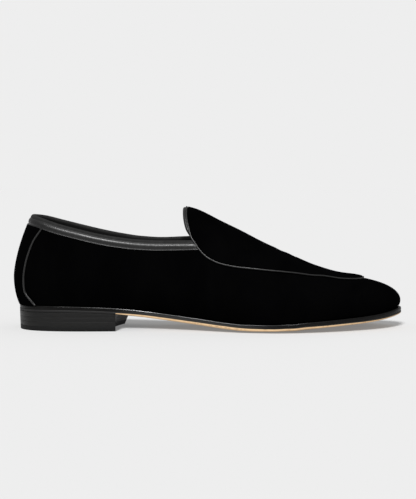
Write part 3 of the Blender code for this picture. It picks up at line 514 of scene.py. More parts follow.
# Welds the two grids at back, toe and crown, and gives every point its normal, its seam distances and its UV.
def weldSheet(sheet):
    columns, rows = sheet["toeColumn"] + 1, sheet["crownRow"] + 1
    throat, edge = sheet["throatColumn"], sheet["edgeRow"]
    points = np.concatenate([sheet["grids"][name].reshape(-1, 3) for name in ("lateral", "medial")])
    outer = np.arange(columns * rows).reshape(columns, rows)
    inner = outer + columns * rows
    for kept, twin in (
        (outer[0, : edge + 1], inner[0, : edge + 1]),
        (outer[-1], inner[-1]),
        (outer[throat:, -1], inner[throat:, -1]),
    ):
        points[kept] = (points[kept] + points[twin]) / 2
        points[twin] = points[kept]
        twin[:] = kept
    ids = {"lateral": outer, "medial": inner}
    up, rim, tongue, uv = ({} for _ in range(4))
    for name, sign in (("lateral", 1), ("medial", -1)):
        grid = points[ids[name]]
        rise = arcLengths(grid, 1)
        run = arcLengths(grid, 0)
        up[name] = rise
        rim[name] = rise - rise[:, edge : edge + 1]
        tongue[name] = run - run[throat]
        along = arcLengths(grid[:, edge // 2], 0)
        uv[name] = np.stack([np.broadcast_to(sign * along[:, None], rise.shape), rise], axis=-1)
    sheet.update(points=points, ids=ids, up=up, rim=rim, tongue=tongue, uv=uv)
    faces, _ = joinFaces(sheetFaces(sheet, 0, columns - 1, 0, edge),
                         sheetFaces(sheet, throat, columns - 1, edge, rows - 1))
    sheet["normals"] = pointNormals(points, faces)
    return sheet


# Quads between these columns and rows on both sides, seen from outside, with the UV of each corner.
def sheetFaces(sheet, firstColumn, lastColumn, firstRow, lastRow, step=1):
    faces, corners = [], []
    picked = np.ix_(everyStep(firstColumn, lastColumn, step), everyStep(firstRow, lastRow, step))
    for name, turn in (("lateral", 1), ("medial", -1)):
        for grid, found in ((sheet["ids"][name][picked], faces), (sheet["uv"][name][picked], corners)):
            quad = np.stack([grid[:-1, :-1], grid[1:, :-1], grid[1:, 1:], grid[:-1, 1:]], axis=2)
            found.append(quad.reshape(-1, *quad.shape[2:])[:, ::turn])
    return np.concatenate(faces), np.concatenate(corners)


# Several pairs of faces and UVs as one pair.
def joinFaces(*pairs):
    return [np.concatenate(parts) for parts in zip(*pairs)]


# Every step-th number from first on, and the last one.
def everyStep(first, lastOne, step):
    return np.append(np.arange(first, lastOne, step), lastOne)


# Area-weighted mean of the normals of the quads round each point.
def pointNormals(points, faces):
    a, b, c, d = (points[faces[:, i]] for i in range(4))
    across = np.cross(c - a, d - b)
    normals = np.zeros_like(points)
    for i in range(4):
        np.add.at(normals, faces[:, i], across)
    return normals / np.maximum(np.linalg.norm(normals, axis=1), 1e-12)[:, None]


# Puts arrays of faces (any corner count per array) with one UV per corner into a mesh object. sharp is the
# angle in degrees from which edges are sharp; edgeHeight is one value per point, for the material.
def addPiece(name, points, faceSets, uvSets, material, node, sharp=None, edgeHeight=None):
    mesh = bpy.data.meshes.new(name)
    loops = np.concatenate([faces.ravel() for faces in faceSets]).astype(np.int32)
    sizes = np.concatenate([np.full(len(faces), faces.shape[1]) for faces in faceSets])
    starts = np.concatenate([[0], np.cumsum(sizes)[:-1]]).astype(np.int32)
    mesh.vertices.add(len(points))
    mesh.vertices.foreach_set("co", (points + np.array(last["place"])).astype(np.float32).ravel())
    mesh.loops.add(len(loops))
    mesh.loops.foreach_set("vertex_index", loops)
    mesh.polygons.add(len(sizes))
    mesh.polygons.foreach_set("loop_start", starts)
    uv = mesh.uv_layers.new(name="surface")
    uv.data.foreach_set("uv", np.concatenate([u.reshape(-1, 2) for u in uvSets]).astype(np.float32).ravel())
    if edgeHeight is not None:
        height = mesh.attributes.new("edgeHeight", "FLOAT", "POINT")
        height.data.foreach_set("value", edgeHeight.astype(np.float32))
    mesh.update(calc_edges=True)
    mesh.validate()
    mesh.shade_smooth()
    if sharp is not None:
        mesh.set_sharp_from_angle(angle=math.radians(sharp))
    mesh.materials.append(material)
    piece = bpy.data.objects.new(name, mesh)
    bpy.context.scene.collection.objects.link(piece)
    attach(piece, "root")
    if node:
        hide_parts(node)
    print("piece", name, sum(len(f) * (f.shape[1] - 2) for f in faceSets), "triangles")


# A wall between two layers over the same faces, closed along the rim: each rim edge gets one quad.
def addWall(name, outer, inner, faces, uv, material, node):
    used, packed = np.unique(faces, return_inverse=True)
    faces = packed.reshape(faces.shape)
    count = len(used)
    edges = np.stack([faces, np.roll(faces, -1, axis=1)], axis=-1).reshape(-1, 2)
    edgeUv = np.stack([uv, np.roll(uv, -1, axis=1)], axis=2).reshape(-1, 2, 2)
    key = edges.min(1).astype(np.int64) * count + edges.max(1)
    _, first, times = np.unique(key, return_index=True, return_counts=True)
    rim = first[times == 1]
    a, b = edges[rim].T
    rimFaces = np.stack([b, a, a + count, b + count], axis=1)
    rimUv = edgeUv[rim][:, [1, 0, 0, 1]]
    addPiece(name, np.vstack([outer[used], inner[used]]), [faces, faces[:, ::-1] + count, rimFaces],
             [uv, uv[:, ::-1], rimUv], material, node)


# A closed skin of quads: unused points go, the faces turn outward, and quads with a doubled corner become
# triangles.
def addSkin(name, points, faces, uv, material, node, sharp=None, edgeHeight=None):
    used, packed = np.unique(faces, return_inverse=True)
    faces, points = packed.reshape(faces.shape), points[used]
    if meshVolume(points, faces) < 0:
        faces, uv = faces[:, ::-1], uv[:, ::-1]
    quads, quadUv, triangles, triangleUv = splitDegenerate(faces, uv)
    edgeHeight = None if edgeHeight is None else edgeHeight[used]
    addPiece(name, points, [quads, triangles], [quadUv, triangleUv], material, node, sharp, edgeHeight)


# Quads over a grid of points that is closed the second way, and the first way too if closed. u and v are the
# lengths along both ways, and where one closes they hold one more, past the closing edge.
def gridFaces(shape, closed, u, v):
    nu, nv = shape
    i, j = np.meshgrid(np.arange(nu if closed else nu - 1), np.arange(nv), indexing="ij")
    i, j = i.ravel(), j.ravel()
    iNext, jNext = (i + 1) % nu, (j + 1) % nv
    faces = np.stack([i * nv + j, iNext * nv + j, iNext * nv + jNext, i * nv + jNext], axis=1)
    corners = ((0, 0), (1, 0), (1, 1), (0, 1))
    return faces, np.stack([np.stack([u[i + a], v[j + b]], -1) for a, b in corners], axis=1)


# Lengths along a closed run of points, and at the end the length of the whole loop.
def closedLengths(points):
    lengths = arcLengths(points, 0)
    return np.append(lengths, lengths[-1] + np.linalg.norm(points[0] - points[-1]))


# A closed profile carried along a path: rings of points, capped at both ends unless the path is closed.
def addLoft(name, rings, closed, material, node):
    nu, nv = rings.shape[:2]
    uLengths = closedLengths(rings.mean(axis=1))
    vLengths = closedLengths(rings[nu // 2])
    faces, uv = gridFaces((nu, nv), closed, uLengths, vLengths)
    faceSets, uvSets = [faces[:, ::-1]], [uv[:, ::-1]]
    if not closed:
        faceSets.append(np.stack([np.arange(nv), (nu - 1) * nv + np.arange(nv)[::-1]]))
        capUv = [np.stack([np.full(nv, u), vLengths[:nv]], -1) for u in uLengths[[0, nu - 1]]]
        uvSets.append(np.stack(capUv))
    points = rings.reshape(-1, 3)
    if meshVolume(points, faceSets[0]) < 0:
        faceSets = [f[:, ::-1] for f in faceSets]
        uvSets = [u[:, ::-1] for u in uvSets]
    addPiece(name, points, faceSets, uvSets, material, node)


# Signed volume of a nearly closed skin: a sixth of the sum of the triple products of its triangles.
def meshVolume(points, quads):
    centred = points - points.mean(axis=0)
    a, b, c, d = (centred[quads[:, i]] for i in range(4))
    return (np.einsum("ij,ij->i", a, np.cross(b, c)) + np.einsum("ij,ij->i", a, np.cross(c, d))).sum() / 6


# Each vector over its length.
def unit(vectors):
    return vectors / np.maximum(np.linalg.norm(vectors, axis=-1, keepdims=True), 1e-12)


# Rings of a round cord: centre + radius * (cos a * up + sin a * across), a from 0 to a full turn.
def cordRings(path, normals, radius, sides, closed):
    if closed:
        run = np.roll(path, -1, axis=0) - np.roll(path, 1, axis=0)
    else:
        run = np.gradient(path, axis=0)
    run = unit(run)
    across = unit(np.cross(run, normals))
    up = np.cross(across, run)
    turn = np.arange(sides) * 2 * math.pi / sides
    radius = np.broadcast_to(radius, len(path))[:, None, None]
    ring = np.cos(turn)[None, :, None] * up[:, None] + np.sin(turn)[None, :, None] * across[:, None]
    return path[:, None] + radius * ring


# A new material, its node tree and its shader.
def newMaterial(name):
    material = bpy.data.materials.new(name)
    material.use_nodes = True
    tree = material.node_tree
    return material, tree, tree.nodes["Principled BSDF"]


# Adds a node; inputs that are sockets are linked, the others are set.
def addNode(tree, kind, inputs=None, **settings):
    node = tree.nodes.new("ShaderNode" + kind)
    for key, value in settings.items():
        setattr(node, key, value)
    for key, value in (inputs or {}).items():
        if isinstance(value, bpy.types.NodeSocket):
            tree.links.new(value, node.inputs[key])
        else:
            node.inputs[key].default_value = value
    return node


# Object or UV coordinates, scaled and turned.
def coords(tree, kind="Object", scale=(1, 1, 1), turn=(0, 0, 0)):
    source = addNode(tree, "TexCoord")
    mapping = addNode(tree, "Mapping", {"Vector": source.outputs[kind], "Scale": scale, "Rotation": turn})
    return mapping.outputs[0]


# One part, "X", "Y" or "Z", of a vector.
def partOf(tree, vector, axis):
    return addNode(tree, "SeparateXYZ", {"Vector": vector}).outputs[axis]


# Fractal noise, 0 to 1 and mostly between 0.3 and 0.7; scale is waves to the metre.
def noise(tree, vector, scale, detail=2.0, roughness=0.5, distortion=0.0):
    found = addNode(tree, "TexNoise", {"Vector": vector, "Scale": scale, "Detail": detail,
                                       "Roughness": roughness, "Distortion": distortion})
    return found.outputs["Fac"]


# newLow + (newHigh - newLow) * (value - low) / (high - low), held between the two new ends.
def remap(tree, value, low, high, newLow, newHigh):
    found = addNode(tree, "MapRange", {"Value": value, "From Min": low, "From Max": high,
                                       "To Min": newLow, "To Max": newHigh})
    return found.outputs[0]


# Noise stretched from where it mostly lies to a pair of values.
def spread(tree, value, ends):
    return remap(tree, value, 0.3, 0.7, *ends)


# One operation on a, or on a and b.
def compute(tree, operation, a, b=0.0):
    found = addNode(tree, "Math", {0: a, 1: b}, operation=operation)
    return found.outputs[0]


# a * b * c and so on.
def product(tree, first, *others):
    for other in others:
        first = compute(tree, "MULTIPLY", first, other)
    return first


# a * share + b * (1 - share)
def weigh(tree, a, b, share):
    return compute(tree, "ADD", product(tree, a, share), product(tree, b, 1 - share))


# Colour ramp: straight between (place, colour) stops.
def colours(tree, value, stops):
    ramp = addNode(tree, "ValToRGB", {"Fac": value})
    elements = ramp.color_ramp.elements
    while len(elements) < len(stops):
        elements.new(0.5)
    for element, (place, colour) in zip(elements, stops):
        element.position = place
        element.color = (*colour, 1)
    return ramp.outputs[0]


# first * (1 - factor) + second * factor, where each is a socket or three numbers. A Mix node's colours are
# its inputs 6 and 7 and its output 2.
def mixColours(tree, factor, first, second):
    first, second = (c if isinstance(c, bpy.types.NodeSocket) else (*c, 1) for c in (first, second))
    return addNode(tree, "Mix", {"Factor": factor, 6: first, 7: second}, data_type="RGBA").outputs[2]


# Normal bent by the slope of height * distance, over the normal of an earlier bump.
def bump(tree, height, distance, strength=1.0, after=None):
    inputs = {"Height": height, "Distance": distance, "Strength": strength}
    if after is not None:
        inputs["Normal"] = after
    return addNode(tree, "Bump", inputs).outputs[0]


# Links colour, roughness and normal to a shader, and sets its other inputs to plain numbers.
def dress(tree, shader, colour, roughness, normal, specular, settings=None):
    for key, socket in (("Base Color", colour), ("Roughness", roughness), ("Normal", normal)):
        tree.links.new(socket, shader.inputs[key])
    shader.inputs["Specular IOR Level"].default_value = specular
    for key, value in (settings or {}).items():
        shader.inputs[key].default_value = value


velvetFinish = {
    "dark": (0.00035, 0.00035, 0.0004),
    "light": (0.0013, 0.0013, 0.0014),
    "pile": 2100,  # tufts to the metre
    "brushed": 34,  # patches where the nap lies another way, to the metre
    "pileShare": 0.45,  # how much of the colour follows the pile, the rest follows the nap
    "roughness": (0.86, 1.0),
    "pileBump": (0.12 * mm, 0.8),  # depth and strength
    "napBump": (0.6 * mm, 0.35),
    "specular": 0.0,
    "sheen": {"Sheen Weight": 0.004, "Sheen Roughness": 0.35, "Sheen Tint": (0.55, 0.55, 0.6, 1)},
}


# Velvet: short pile as fine noise, nap lying in soft patches that change colour and roughness a little.
def velvetMaterial():
    material, tree, shader = newMaterial("velvet")
    pile = noise(tree, coords(tree), velvetFinish["pile"], 3, 0.65)
    lay = noise(tree, coords(tree, scale=(1, 1, 0.45)), velvetFinish["brushed"], 3, 0.55, 0.6)
    mixed = weigh(tree, pile, lay, velvetFinish["pileShare"])
    shade = colours(tree, mixed, [(0.30, velvetFinish["dark"]), (0.72, velvetFinish["light"])])
    normal = bump(tree, pile, *velvetFinish["pileBump"], bump(tree, lay, *velvetFinish["napBump"]))
    dress(tree, shader, shade, spread(tree, lay, velvetFinish["roughness"]), normal,
          velvetFinish["specular"], velvetFinish["sheen"])
    return material


trimFinish = {
    "dark": (0.0016, 0.0016, 0.0016),
    "light": (0.0065, 0.0064, 0.0062),
    "grain": 1500,
    "wrinkle": 860,
    "wear": 160,
    "roughness": (0.34, 0.46),
    "wrinkleBump": (0.34 * mm, 0.8),
    "grainBump": (0.02 * mm, 0.5),
    "rubbed": (6.5 * mm, 7.2 * mm),  # from here to here round the section, the collar's fold turns matt
    "matt": 0.48,  # roughness that it gains there
    "specular": 0.36,
    "coat": 0.09,
    "coatRoughness": 0.22,
}


# Soft trim leather: cell grain, and fine wrinkles across the strip that follow its own UV.
def trimMaterial():
    material, tree, shader = newMaterial("trimLeather")
    place = coords(tree)
    cells = addNode(tree, "TexVoronoi", {"Vector": place, "Scale": trimFinish["grain"]},
                    feature="DISTANCE_TO_EDGE").outputs["Distance"]
    wrinkle = noise(tree, coords(tree, "UV", (1, 0.22, 1)), trimFinish["wrinkle"], 3, 0.6, 0.4)
    wear = noise(tree, place, trimFinish["wear"], 3, 0.6)
    shade = colours(tree, wrinkle, [(0.3, trimFinish["dark"]), (0.75, trimFinish["light"])])
    around = partOf(tree, coords(tree, "UV"), "Y")
    matt = remap(tree, around, *trimFinish["rubbed"], 0.0, trimFinish["matt"])
    rough = compute(tree, "ADD", spread(tree, wear, trimFinish["roughness"]), matt)
    normal = bump(tree, wrinkle, *trimFinish["wrinkleBump"])
    normal = bump(tree, remap(tree, cells, 0.0, 0.25, 0.0, 1.0), *trimFinish["grainBump"], normal)
    dress(tree, shader, shade, rough, normal, trimFinish["specular"],
          {"Coat Roughness": trimFinish["coatRoughness"]})
    coat = remap(tree, around, *trimFinish["rubbed"], trimFinish["coat"], 0.0)
    tree.links.new(coat, shader.inputs["Coat Weight"])
    return material


liningFinish = {
    "dark": (0.004, 0.0038, 0.0037),
    "light": (0.009, 0.0086, 0.0082),
    "pores": 900.0,
    "cloud": 60,
    "roughness": (0.50, 0.62),
    "poreBump": (0.04 * mm, 0.5),
    "specular": 0.35,
}


# Lining leather: smooth, matt, with pores.
def liningMaterial():
    material, tree, shader = newMaterial("liningLeather")
    place = coords(tree)
    pores = addNode(tree, "TexVoronoi", {"Vector": place, "Scale": liningFinish["pores"]}).outputs["Distance"]
    cloud = noise(tree, place, liningFinish["cloud"], 3, 0.6)
    shade = colours(tree, cloud, [(0.3, liningFinish["dark"]), (0.7, liningFinish["light"])])
    normal = bump(tree, remap(tree, pores, 0.0, 0.45, 0.0, 1.0), *liningFinish["poreBump"])
    rough = spread(tree, cloud, liningFinish["roughness"])
    dress(tree, shader, shade, rough, normal, liningFinish["specular"])
    return material


edgeFinish = {
    "dark": (0.002, 0.00195, 0.0019),
    "light": (0.006, 0.0058, 0.0056),
    "streak": 900,
    "cloud": 120,
    "roughness": (0.28, 0.42),
    "streakBump": (0.05 * mm, 0.6),
    "wheelPitch": 2.1 * mm,
    "wheelBump": (0.09 * mm, 0.5),
    "specular": 0.05,
    # x and weight of the wax gloss: it rises in front of the heel and falls again before the ball
    "wax": (((-0.072, 0.10), (-0.045, 1.0)), ((0.020, 1.0), (0.050, 0.12))),
    "waxRoughness": 0.19,
}


# Waxed black edge: streaks along the edge, and the small ridges that an edge wheel leaves.
def edgeMaterial():
    material, tree, shader = newMaterial("edgeLeather")
    streak = noise(tree, coords(tree, scale=(0.25, 0.25, 1.6)), edgeFinish["streak"], 3, 0.6)
    shade = colours(tree, streak, [(0.3, edgeFinish["dark"]), (0.72, edgeFinish["light"])])
    cloud = noise(tree, coords(tree), edgeFinish["cloud"], 3, 0.6)
    # a wave texture repeats every 2 pi / 20 over its scale
    ridges = addNode(tree, "TexWave", {"Vector": coords(tree, "UV"), "Distortion": 0.6, "Detail": 1.0,
                                       "Scale": 1 / edgeFinish["wheelPitch"] / 20 * 2 * math.pi})
    normal = bump(tree, streak, *edgeFinish["streakBump"])
    normal = bump(tree, ridges.outputs["Fac"], *edgeFinish["wheelBump"], normal)
    dress(tree, shader, shade, spread(tree, cloud, edgeFinish["roughness"]), normal, edgeFinish["specular"],
          {"Coat Roughness": edgeFinish["waxRoughness"]})
    ahead = partOf(tree, coords(tree), "X")
    rise, fall = (remap(tree, ahead, x0, x1, w0, w1) for (x0, w0), (x1, w1) in edgeFinish["wax"])
    tree.links.new(compute(tree, "MINIMUM", rise, fall), shader.inputs["Coat Weight"])
    return material


tanFinish = {
    "light": (0.575, 0.40, 0.228),
    "dark": (0.40, 0.245, 0.125),
    "fleck": (0.10, 0.055, 0.03),
    "black": (0.006, 0.0058, 0.0056),
    "layers": 1100,
    "cloud": 240,
    "flecks": 700,
    "layerShare": 0.6,  # how much of the colour follows the layers, the rest follows soft clouds
    "roughness": (0.5, 0.66),
    "fibreBump": (0.10 * mm, 0.6),
    "specular": 0.3,
    "breast": ((-0.0307, -0.0704), (0.0286, -0.0608)),  # (y, x) of the heel's breast on each side
    # x, share of the edge's height above which the welt's black has crept down, share below which it is
    # painted dark as shade beside the heel's breast
    "natural": [
        (-0.0700, 0.60, 0.30), (-0.0480, 0.80, 0.02), (-0.0050, 0.88, 0.0), (0.0150, 1.0, 0.0),
        (0.0600, 0.72, 0.0), (0.1050, 0.62, 0.0), (0.1480, 0.38, 0.0),
    ],
    "split": (-0.016, 0.030),  # x between which the layers show as a dark broken line
    "splitHeight": 0.55,  # share of the edge's height where it lies
    "splitBreaks": (330, 0.44, 0.54, 0.8),  # noise to the metre, where it sets in, where it is full, strength
    "ragged": 0.8 * mm,  # how far the black's front edge wanders
    "softness": 0.04,  # over which black turns into tan, as a share of the edge's height
}


# Where sole leather is left natural, 0 to 1: ahead of the heel's breast, below the black that has crept down
# from the welt and above the painted shade at the bottom of the edge beside the heel's breast.
def naturalUnshadedShare(tree, place, cloud, edgeHeight):
    (y0, x0), (y1, x1) = tanFinish["breast"]
    breastX = remap(tree, partOf(tree, place, "Y"), y0, y1, x0, x1)
    ahead = compute(tree, "SUBTRACT", partOf(tree, place, "X"), breastX)
    ragged = product(tree, compute(tree, "SUBTRACT", cloud, 0.5), tanFinish["ragged"])
    natural = remap(tree, compute(tree, "ADD", ahead, ragged), -0.1 * mm, 0.2 * mm, 0.0, 1.0)
    x0, x1 = tanFinish["natural"][0][0], tanFinish["natural"][-1][0]
    along = remap(tree, partOf(tree, place, "X"), x0, x1, 0.0, 1.0)
    soft = tanFinish["softness"]
    # the second limit is painted shade: it darkens the foot of the edge beside the heel's breast
    for column, sign in ((1, 1), (2, -1)):
        limit = colours(tree, along, [((row[0] - x0) / (x1 - x0), (row[column],) * 3)
                                      for row in tanFinish["natural"]])
        inside = product(tree, compute(tree, "SUBTRACT", limit, edgeHeight), sign)
        natural = product(tree, natural, remap(tree, inside, -soft, soft, 0.0, 1.0))
    return natural


# The dark broken line between two layers, 0 to 1: a window along x, a band of heights, and noise.
def splitLine(tree, place, edgeHeight):
    x0, x1 = tanFinish["split"]
    away = compute(tree, "ABSOLUTE", compute(tree, "SUBTRACT", partOf(tree, place, "X"), (x0 + x1) / 2))
    window = remap(tree, away, (x1 - x0) * 0.36, (x1 - x0) / 2, 1.0, 0.0)
    off = compute(tree, "ABSOLUTE", compute(tree, "SUBTRACT", edgeHeight, tanFinish["splitHeight"]))
    band = remap(tree, off, 0.05, 0.14, 1.0, 0.0)
    scale, start, full, strength = tanFinish["splitBreaks"]
    breaks = noise(tree, coords(tree, scale=(1, 1, 0.2)), scale, 2, 0.5)
    broken = remap(tree, breaks, start, full, 0.0, strength)
    return product(tree, window, band, broken)


# Sole leather: layered fibres along the edge, dark flecks, blackened behind the heel's breast, and painted
# shade darkening the foot of the edge beside the breast.
def tanMaterial():
    material, tree, shader = newMaterial("soleLeather")
    place = coords(tree)
    layers = noise(tree, coords(tree, scale=(0.12, 0.12, 2.2)), tanFinish["layers"], 4, 0.65)
    cloud = noise(tree, place, tanFinish["cloud"], 4, 0.6)
    mixed = weigh(tree, layers, cloud, tanFinish["layerShare"])
    fibre = colours(tree, mixed, [(0.30, tanFinish["dark"]), (0.50, tanFinish["light"]),
                                  (0.75, tuple(1.12 * c for c in tanFinish["light"]))])
    flecks = noise(tree, coords(tree, scale=(0.30, 0.30, 1.5)), tanFinish["flecks"], 2, 0.5)
    tan = mixColours(tree, remap(tree, flecks, 0.66, 0.72, 0.0, 0.75), fibre, tanFinish["fleck"])
    edgeHeight = addNode(tree, "Attribute", attribute_name="edgeHeight").outputs["Fac"]
    cracked = mixColours(tree, splitLine(tree, place, edgeHeight), tan, tanFinish["fleck"])
    natural = naturalUnshadedShare(tree, place, cloud, edgeHeight)
    whole = mixColours(tree, natural, tanFinish["black"], cracked)
    dress(tree, shader, whole, spread(tree, cloud, tanFinish["roughness"]),
          bump(tree, mixed, *tanFinish["fibreBump"]), tanFinish["specular"])
    return material


# the three simple finishes; stops are (height in the pattern, colour), bump is depth and strength
heelFinish = {
    "stops": [(0.3, (0.0035, 0.0034, 0.0033)), (0.7, (0.0085, 0.0083, 0.0081))],
    "fibre": 1200,
    "cloud": 150,
    "roughness": (0.40, 0.52),
    "bump": (0.06 * mm, 0.6),
    "specular": 0.22,
}


rubberFinish = {
    "stops": [(0.35, (0.003, 0.003, 0.003)), (0.7, (0.008, 0.008, 0.008))],
    "speck": 1500,
    "roughness": (0.55, 0.72),
    "bump": (0.04 * mm, 0.6),
    "specular": 0.14,
}


threadFinish = {
    "stops": [(0.2, (0.005, 0.005, 0.005)), (0.8, (0.02, 0.02, 0.021))],
    "twist": 420.0,
    "slant": 0.7,
    "roughness": (0.55, 0.4),
    "bump": (0.05 * mm, 0.6),
    "specular": 0.4,
}


# A finish whose colour and bump both follow one pattern.
def simpleMaterial(material, tree, shader, finish, pattern, roughness):
    dress(tree, shader, colours(tree, pattern, finish["stops"]), roughness,
          bump(tree, pattern, *finish["bump"]), finish["specular"])
    return material


# Heel stack: blackened leather, half matt, with fibre lines along each lift.
def heelMaterial():
    material, tree, shader = newMaterial("heelLeather")
    fibre = noise(tree, coords(tree, scale=(0.15, 0.15, 2.0)), heelFinish["fibre"], 4, 0.65)
    cloud = noise(tree, coords(tree), heelFinish["cloud"], 3, 0.6)
    rough = spread(tree, cloud, heelFinish["roughness"])
    return simpleMaterial(material, tree, shader, heelFinish, fibre, rough)


# Black rubber: fine specks.
def rubberMaterial():
    material, tree, shader = newMaterial("heelRubber")
    speck = noise(tree, coords(tree), rubberFinish["speck"], 3, 0.7)
    rough = spread(tree, speck, rubberFinish["roughness"])
    return simpleMaterial(material, tree, shader, rubberFinish, speck, rough)


# Thread: slanting waves along each stitch.
def threadMaterial():
    material, tree, shader = newMaterial("thread")
    slanted = coords(tree, "UV", turn=(0, 0, threadFinish["slant"]))
    twist = addNode(tree, "TexWave", {"Vector": slanted, "Scale": threadFinish["twist"]}).outputs["Fac"]
    rough = remap(tree, twist, 0, 1, *threadFinish["roughness"])
    return simpleMaterial(material, tree, shader, threadFinish, twist, rough)


upperCloth = {
    "velvet": 1.3 * mm,  # velvet with its interlining
    "seamDepth": 0.35 * mm,  # how far the stitched seam pulls the vamp in beside the plug
    "seamWidth": 1.3 * mm,
    "seamOffset": 1.2 * mm,  # how far below the plug's edge it is deepest
    "seamStart": 4 * mm,  # length over which it begins behind the throat
    "stripSeamDepth": 0.25 * mm,
    "stripSeamWidth": 1.1 * mm,
    "stripSeamOffset": 1.0 * mm,
    "footDrop": 0.4 * mm,  # the wall goes down between the upper and the welt
    "footFade": 2.5 * mm,
    "foldFade": (9 * mm, 6 * mm),  # folds die out over these lengths towards the sole and the edge
    "linerGap": 0.05 * mm,
    "grip": {"front": 0.052, "bow": 0.010, "height": 0.05, "edge": 0.6 * mm, "thickness": 0.35 * mm},
    # soft folds in the cloth: side, then x, z, x, z, x, z of a bent line over the floor, depth, half width
    "folds": [
        ("lateral", 0.164, 0.018, 0.176, 0.034, 0.186, 0.046, 0.40 * mm, 3.2 * mm),
        ("lateral", 0.182, 0.014, 0.194, 0.026, 0.205, 0.037, 0.28 * mm, 2.8 * mm),
        ("lateral", 0.100, 0.052, 0.114, 0.045, 0.126, 0.030, 0.30 * mm, 4.0 * mm),
        ("lateral", 0.052, 0.060, 0.063, 0.045, 0.066, 0.028, 0.25 * mm, 4.5 * mm),
        ("medial", 0.160, 0.018, 0.171, 0.033, 0.180, 0.045, 0.42 * mm, 3.2 * mm),
        ("medial", 0.180, 0.015, 0.191, 0.027, 0.203, 0.038, 0.30 * mm, 2.8 * mm),
        ("medial", 0.098, 0.054, 0.112, 0.044, 0.124, 0.030, 0.32 * mm, 4.2 * mm),
        ("medial", 0.050, 0.060, 0.060, 0.046, 0.064, 0.028, 0.25 * mm, 4.5 * mm),
    ],
    # folds over the top of the foot: x, slant across, depth, half width; and how far they reach to each side
    "crossFolds": [
        (0.203, 0.10, 0.22 * mm, 3.0 * mm),
        (0.214, -0.05, 0.16 * mm, 2.6 * mm),
    ],
    "crossReach": 0.022,
}


# Soft trough with a low ridge on each side along a bent line, fading to its ends:
# depth * (0.45 * (g(d - 1.5 w) + g(d + 1.5 w)) - g(d)) * (1 - t^4), g a bell of half width w.
def foldHeights(points):
    height = np.zeros(len(points))
    t = np.linspace(0, 1, 25)
    for side, x0, z0, x1, z1, x2, z2, depth, width in upperCloth["folds"]:
        line = np.stack([
            (1 - t) ** 2 * x0 + 2 * t * (1 - t) * x1 + t**2 * x2,
            (1 - t) ** 2 * z0 + 2 * t * (1 - t) * z1 + t**2 * z2,
        ], axis=1)
        away = points[:, [0, 2]][:, None] - line[None]
        distance = np.linalg.norm(away, axis=2)
        nearest = distance.argmin(axis=1)
        run = np.gradient(line, axis=0)[nearest]
        offset = away[np.arange(len(points)), nearest]
        signed = np.sign(run[:, 0] * offset[:, 1] - run[:, 1] * offset[:, 0]) * distance.min(axis=1)
        onSide = points[:, 1] < 0 if side == "lateral" else points[:, 1] > 0
        fade = np.clip(1 - np.abs(2 * t[nearest] - 1) ** 4, 0, 1)
        height += np.where(onSide, bell(signed, width) * fade * depth, 0)
    for x, slant, depth, width in upperCloth["crossFolds"]:
        signed = points[:, 0] - x - slant * points[:, 1]
        middle = np.exp(-((points[:, 1] / upperCloth["crossReach"]) ** 2))
        height += bell(signed, width) * middle * depth
    return height


# The fold's own section, as in the formula above.
def bell(distance, width):
    def hill(d):
        return np.exp(-((d / width) ** 2))

    return 0.45 * (hill(distance - 1.5 * width) + hill(distance + 1.5 * width)) - hill(distance)


# A field held on both side grids as one value per welded point.
def onPoints(sheet, grids):
    field = np.zeros(len(sheet["points"]))
    for name in ("medial", "lateral"):
        field[sheet["ids"][name].ravel()] = grids[name].ravel()
    return field


# Points lifted to at least a clearance over the sole's top.
def keepAboveSole(points, clearance):
    lifted = points.copy()
    lifted[:, 2] = np.maximum(points[:, 2], soleTop(points[:, 0]) + clearance)
    return lifted


# Quarter-round shoulder: 0 at the edge, 1 from one radius inside it.
def shoulder(distance, radius):
    inside = np.clip(distance / radius, 0, 1)
    return np.sqrt(1 - (1 - inside) ** 2)


# The velvet's face is the sheet + normal * (folds - troughs beside plug and back strip), a trough being
# depth * exp(-((d + offset) / width)^2) below the edge. The lining fills the rest of the wall's thickness.
def makeUpper(sheet, velvet, lining):
    points, normals = sheet["points"], sheet["normals"]
    throat, toe, edge, crown = (sheet[k] for k in ("throatColumn", "toeColumn", "edgeRow", "crownRow"))
    rim, foot, ahead = (onPoints(sheet, sheet[key]) for key in ("rim", "up", "tongue"))
    cloth = upperCloth
    groove = cloth["seamDepth"] * np.exp(-((rim + cloth["seamOffset"]) / cloth["seamWidth"]) ** 2)
    # the trough begins at the throat and lies outside the plug alone
    groove *= np.clip(ahead / cloth["seamStart"] + 1, 0, 1) * (rim <= 0.5 * mm)
    away = (stripDistance(sheet) + cloth["stripSeamOffset"]) / cloth["stripSeamWidth"]
    footFade, edgeFade = cloth["foldFade"]
    height = foldHeights(points) * np.clip(foot / footFade, 0, 1) * np.clip(np.abs(rim) / edgeFade, 0, 1)
    height -= groove + cloth["stripSeamDepth"] * np.exp(-(away**2))
    outer = dropFoot(sheet, points + normals * height[:, None])
    inner = keepAboveSole(points - normals * cloth["velvet"], -0.1 * mm)
    faces, uv = joinFaces(sheetFaces(sheet, 0, toe, 0, edge), sheetFaces(sheet, throat, toe, edge, crown))
    addWall("upper_velvet", outer, inner, faces, uv, velvet, "upper")

    depth = last["wall"] + heelGrip(sheet) * cloth["grip"]["thickness"]
    linerOuter = keepAboveSole(points - normals * (cloth["velvet"] + cloth["linerGap"]), cloth["linerGap"])
    linerInner = keepAboveSole(points - normals * depth[:, None], cloth["linerGap"])
    # every second column and row, counted from the throat so that wall and top share their seam
    faces, uv = joinFaces(*(sheetFaces(sheet, *span, 2) for span in (
        (0, throat, 0, edge), (throat, toe, 0, edge), (throat, toe, edge, crown),
    )))
    addWall("upper_lining", linerOuter, linerInner, faces, uv, lining, "upper")


# Points let down at the foot, where the cloth goes between upper and welt: footDrop, less with the height.
def dropFoot(sheet, points):
    down = np.clip(1 - onPoints(sheet, sheet["up"]) / upperCloth["footFade"], 0, 1)
    return points - np.array([0, 0, upperCloth["footDrop"]]) * down[:, None]


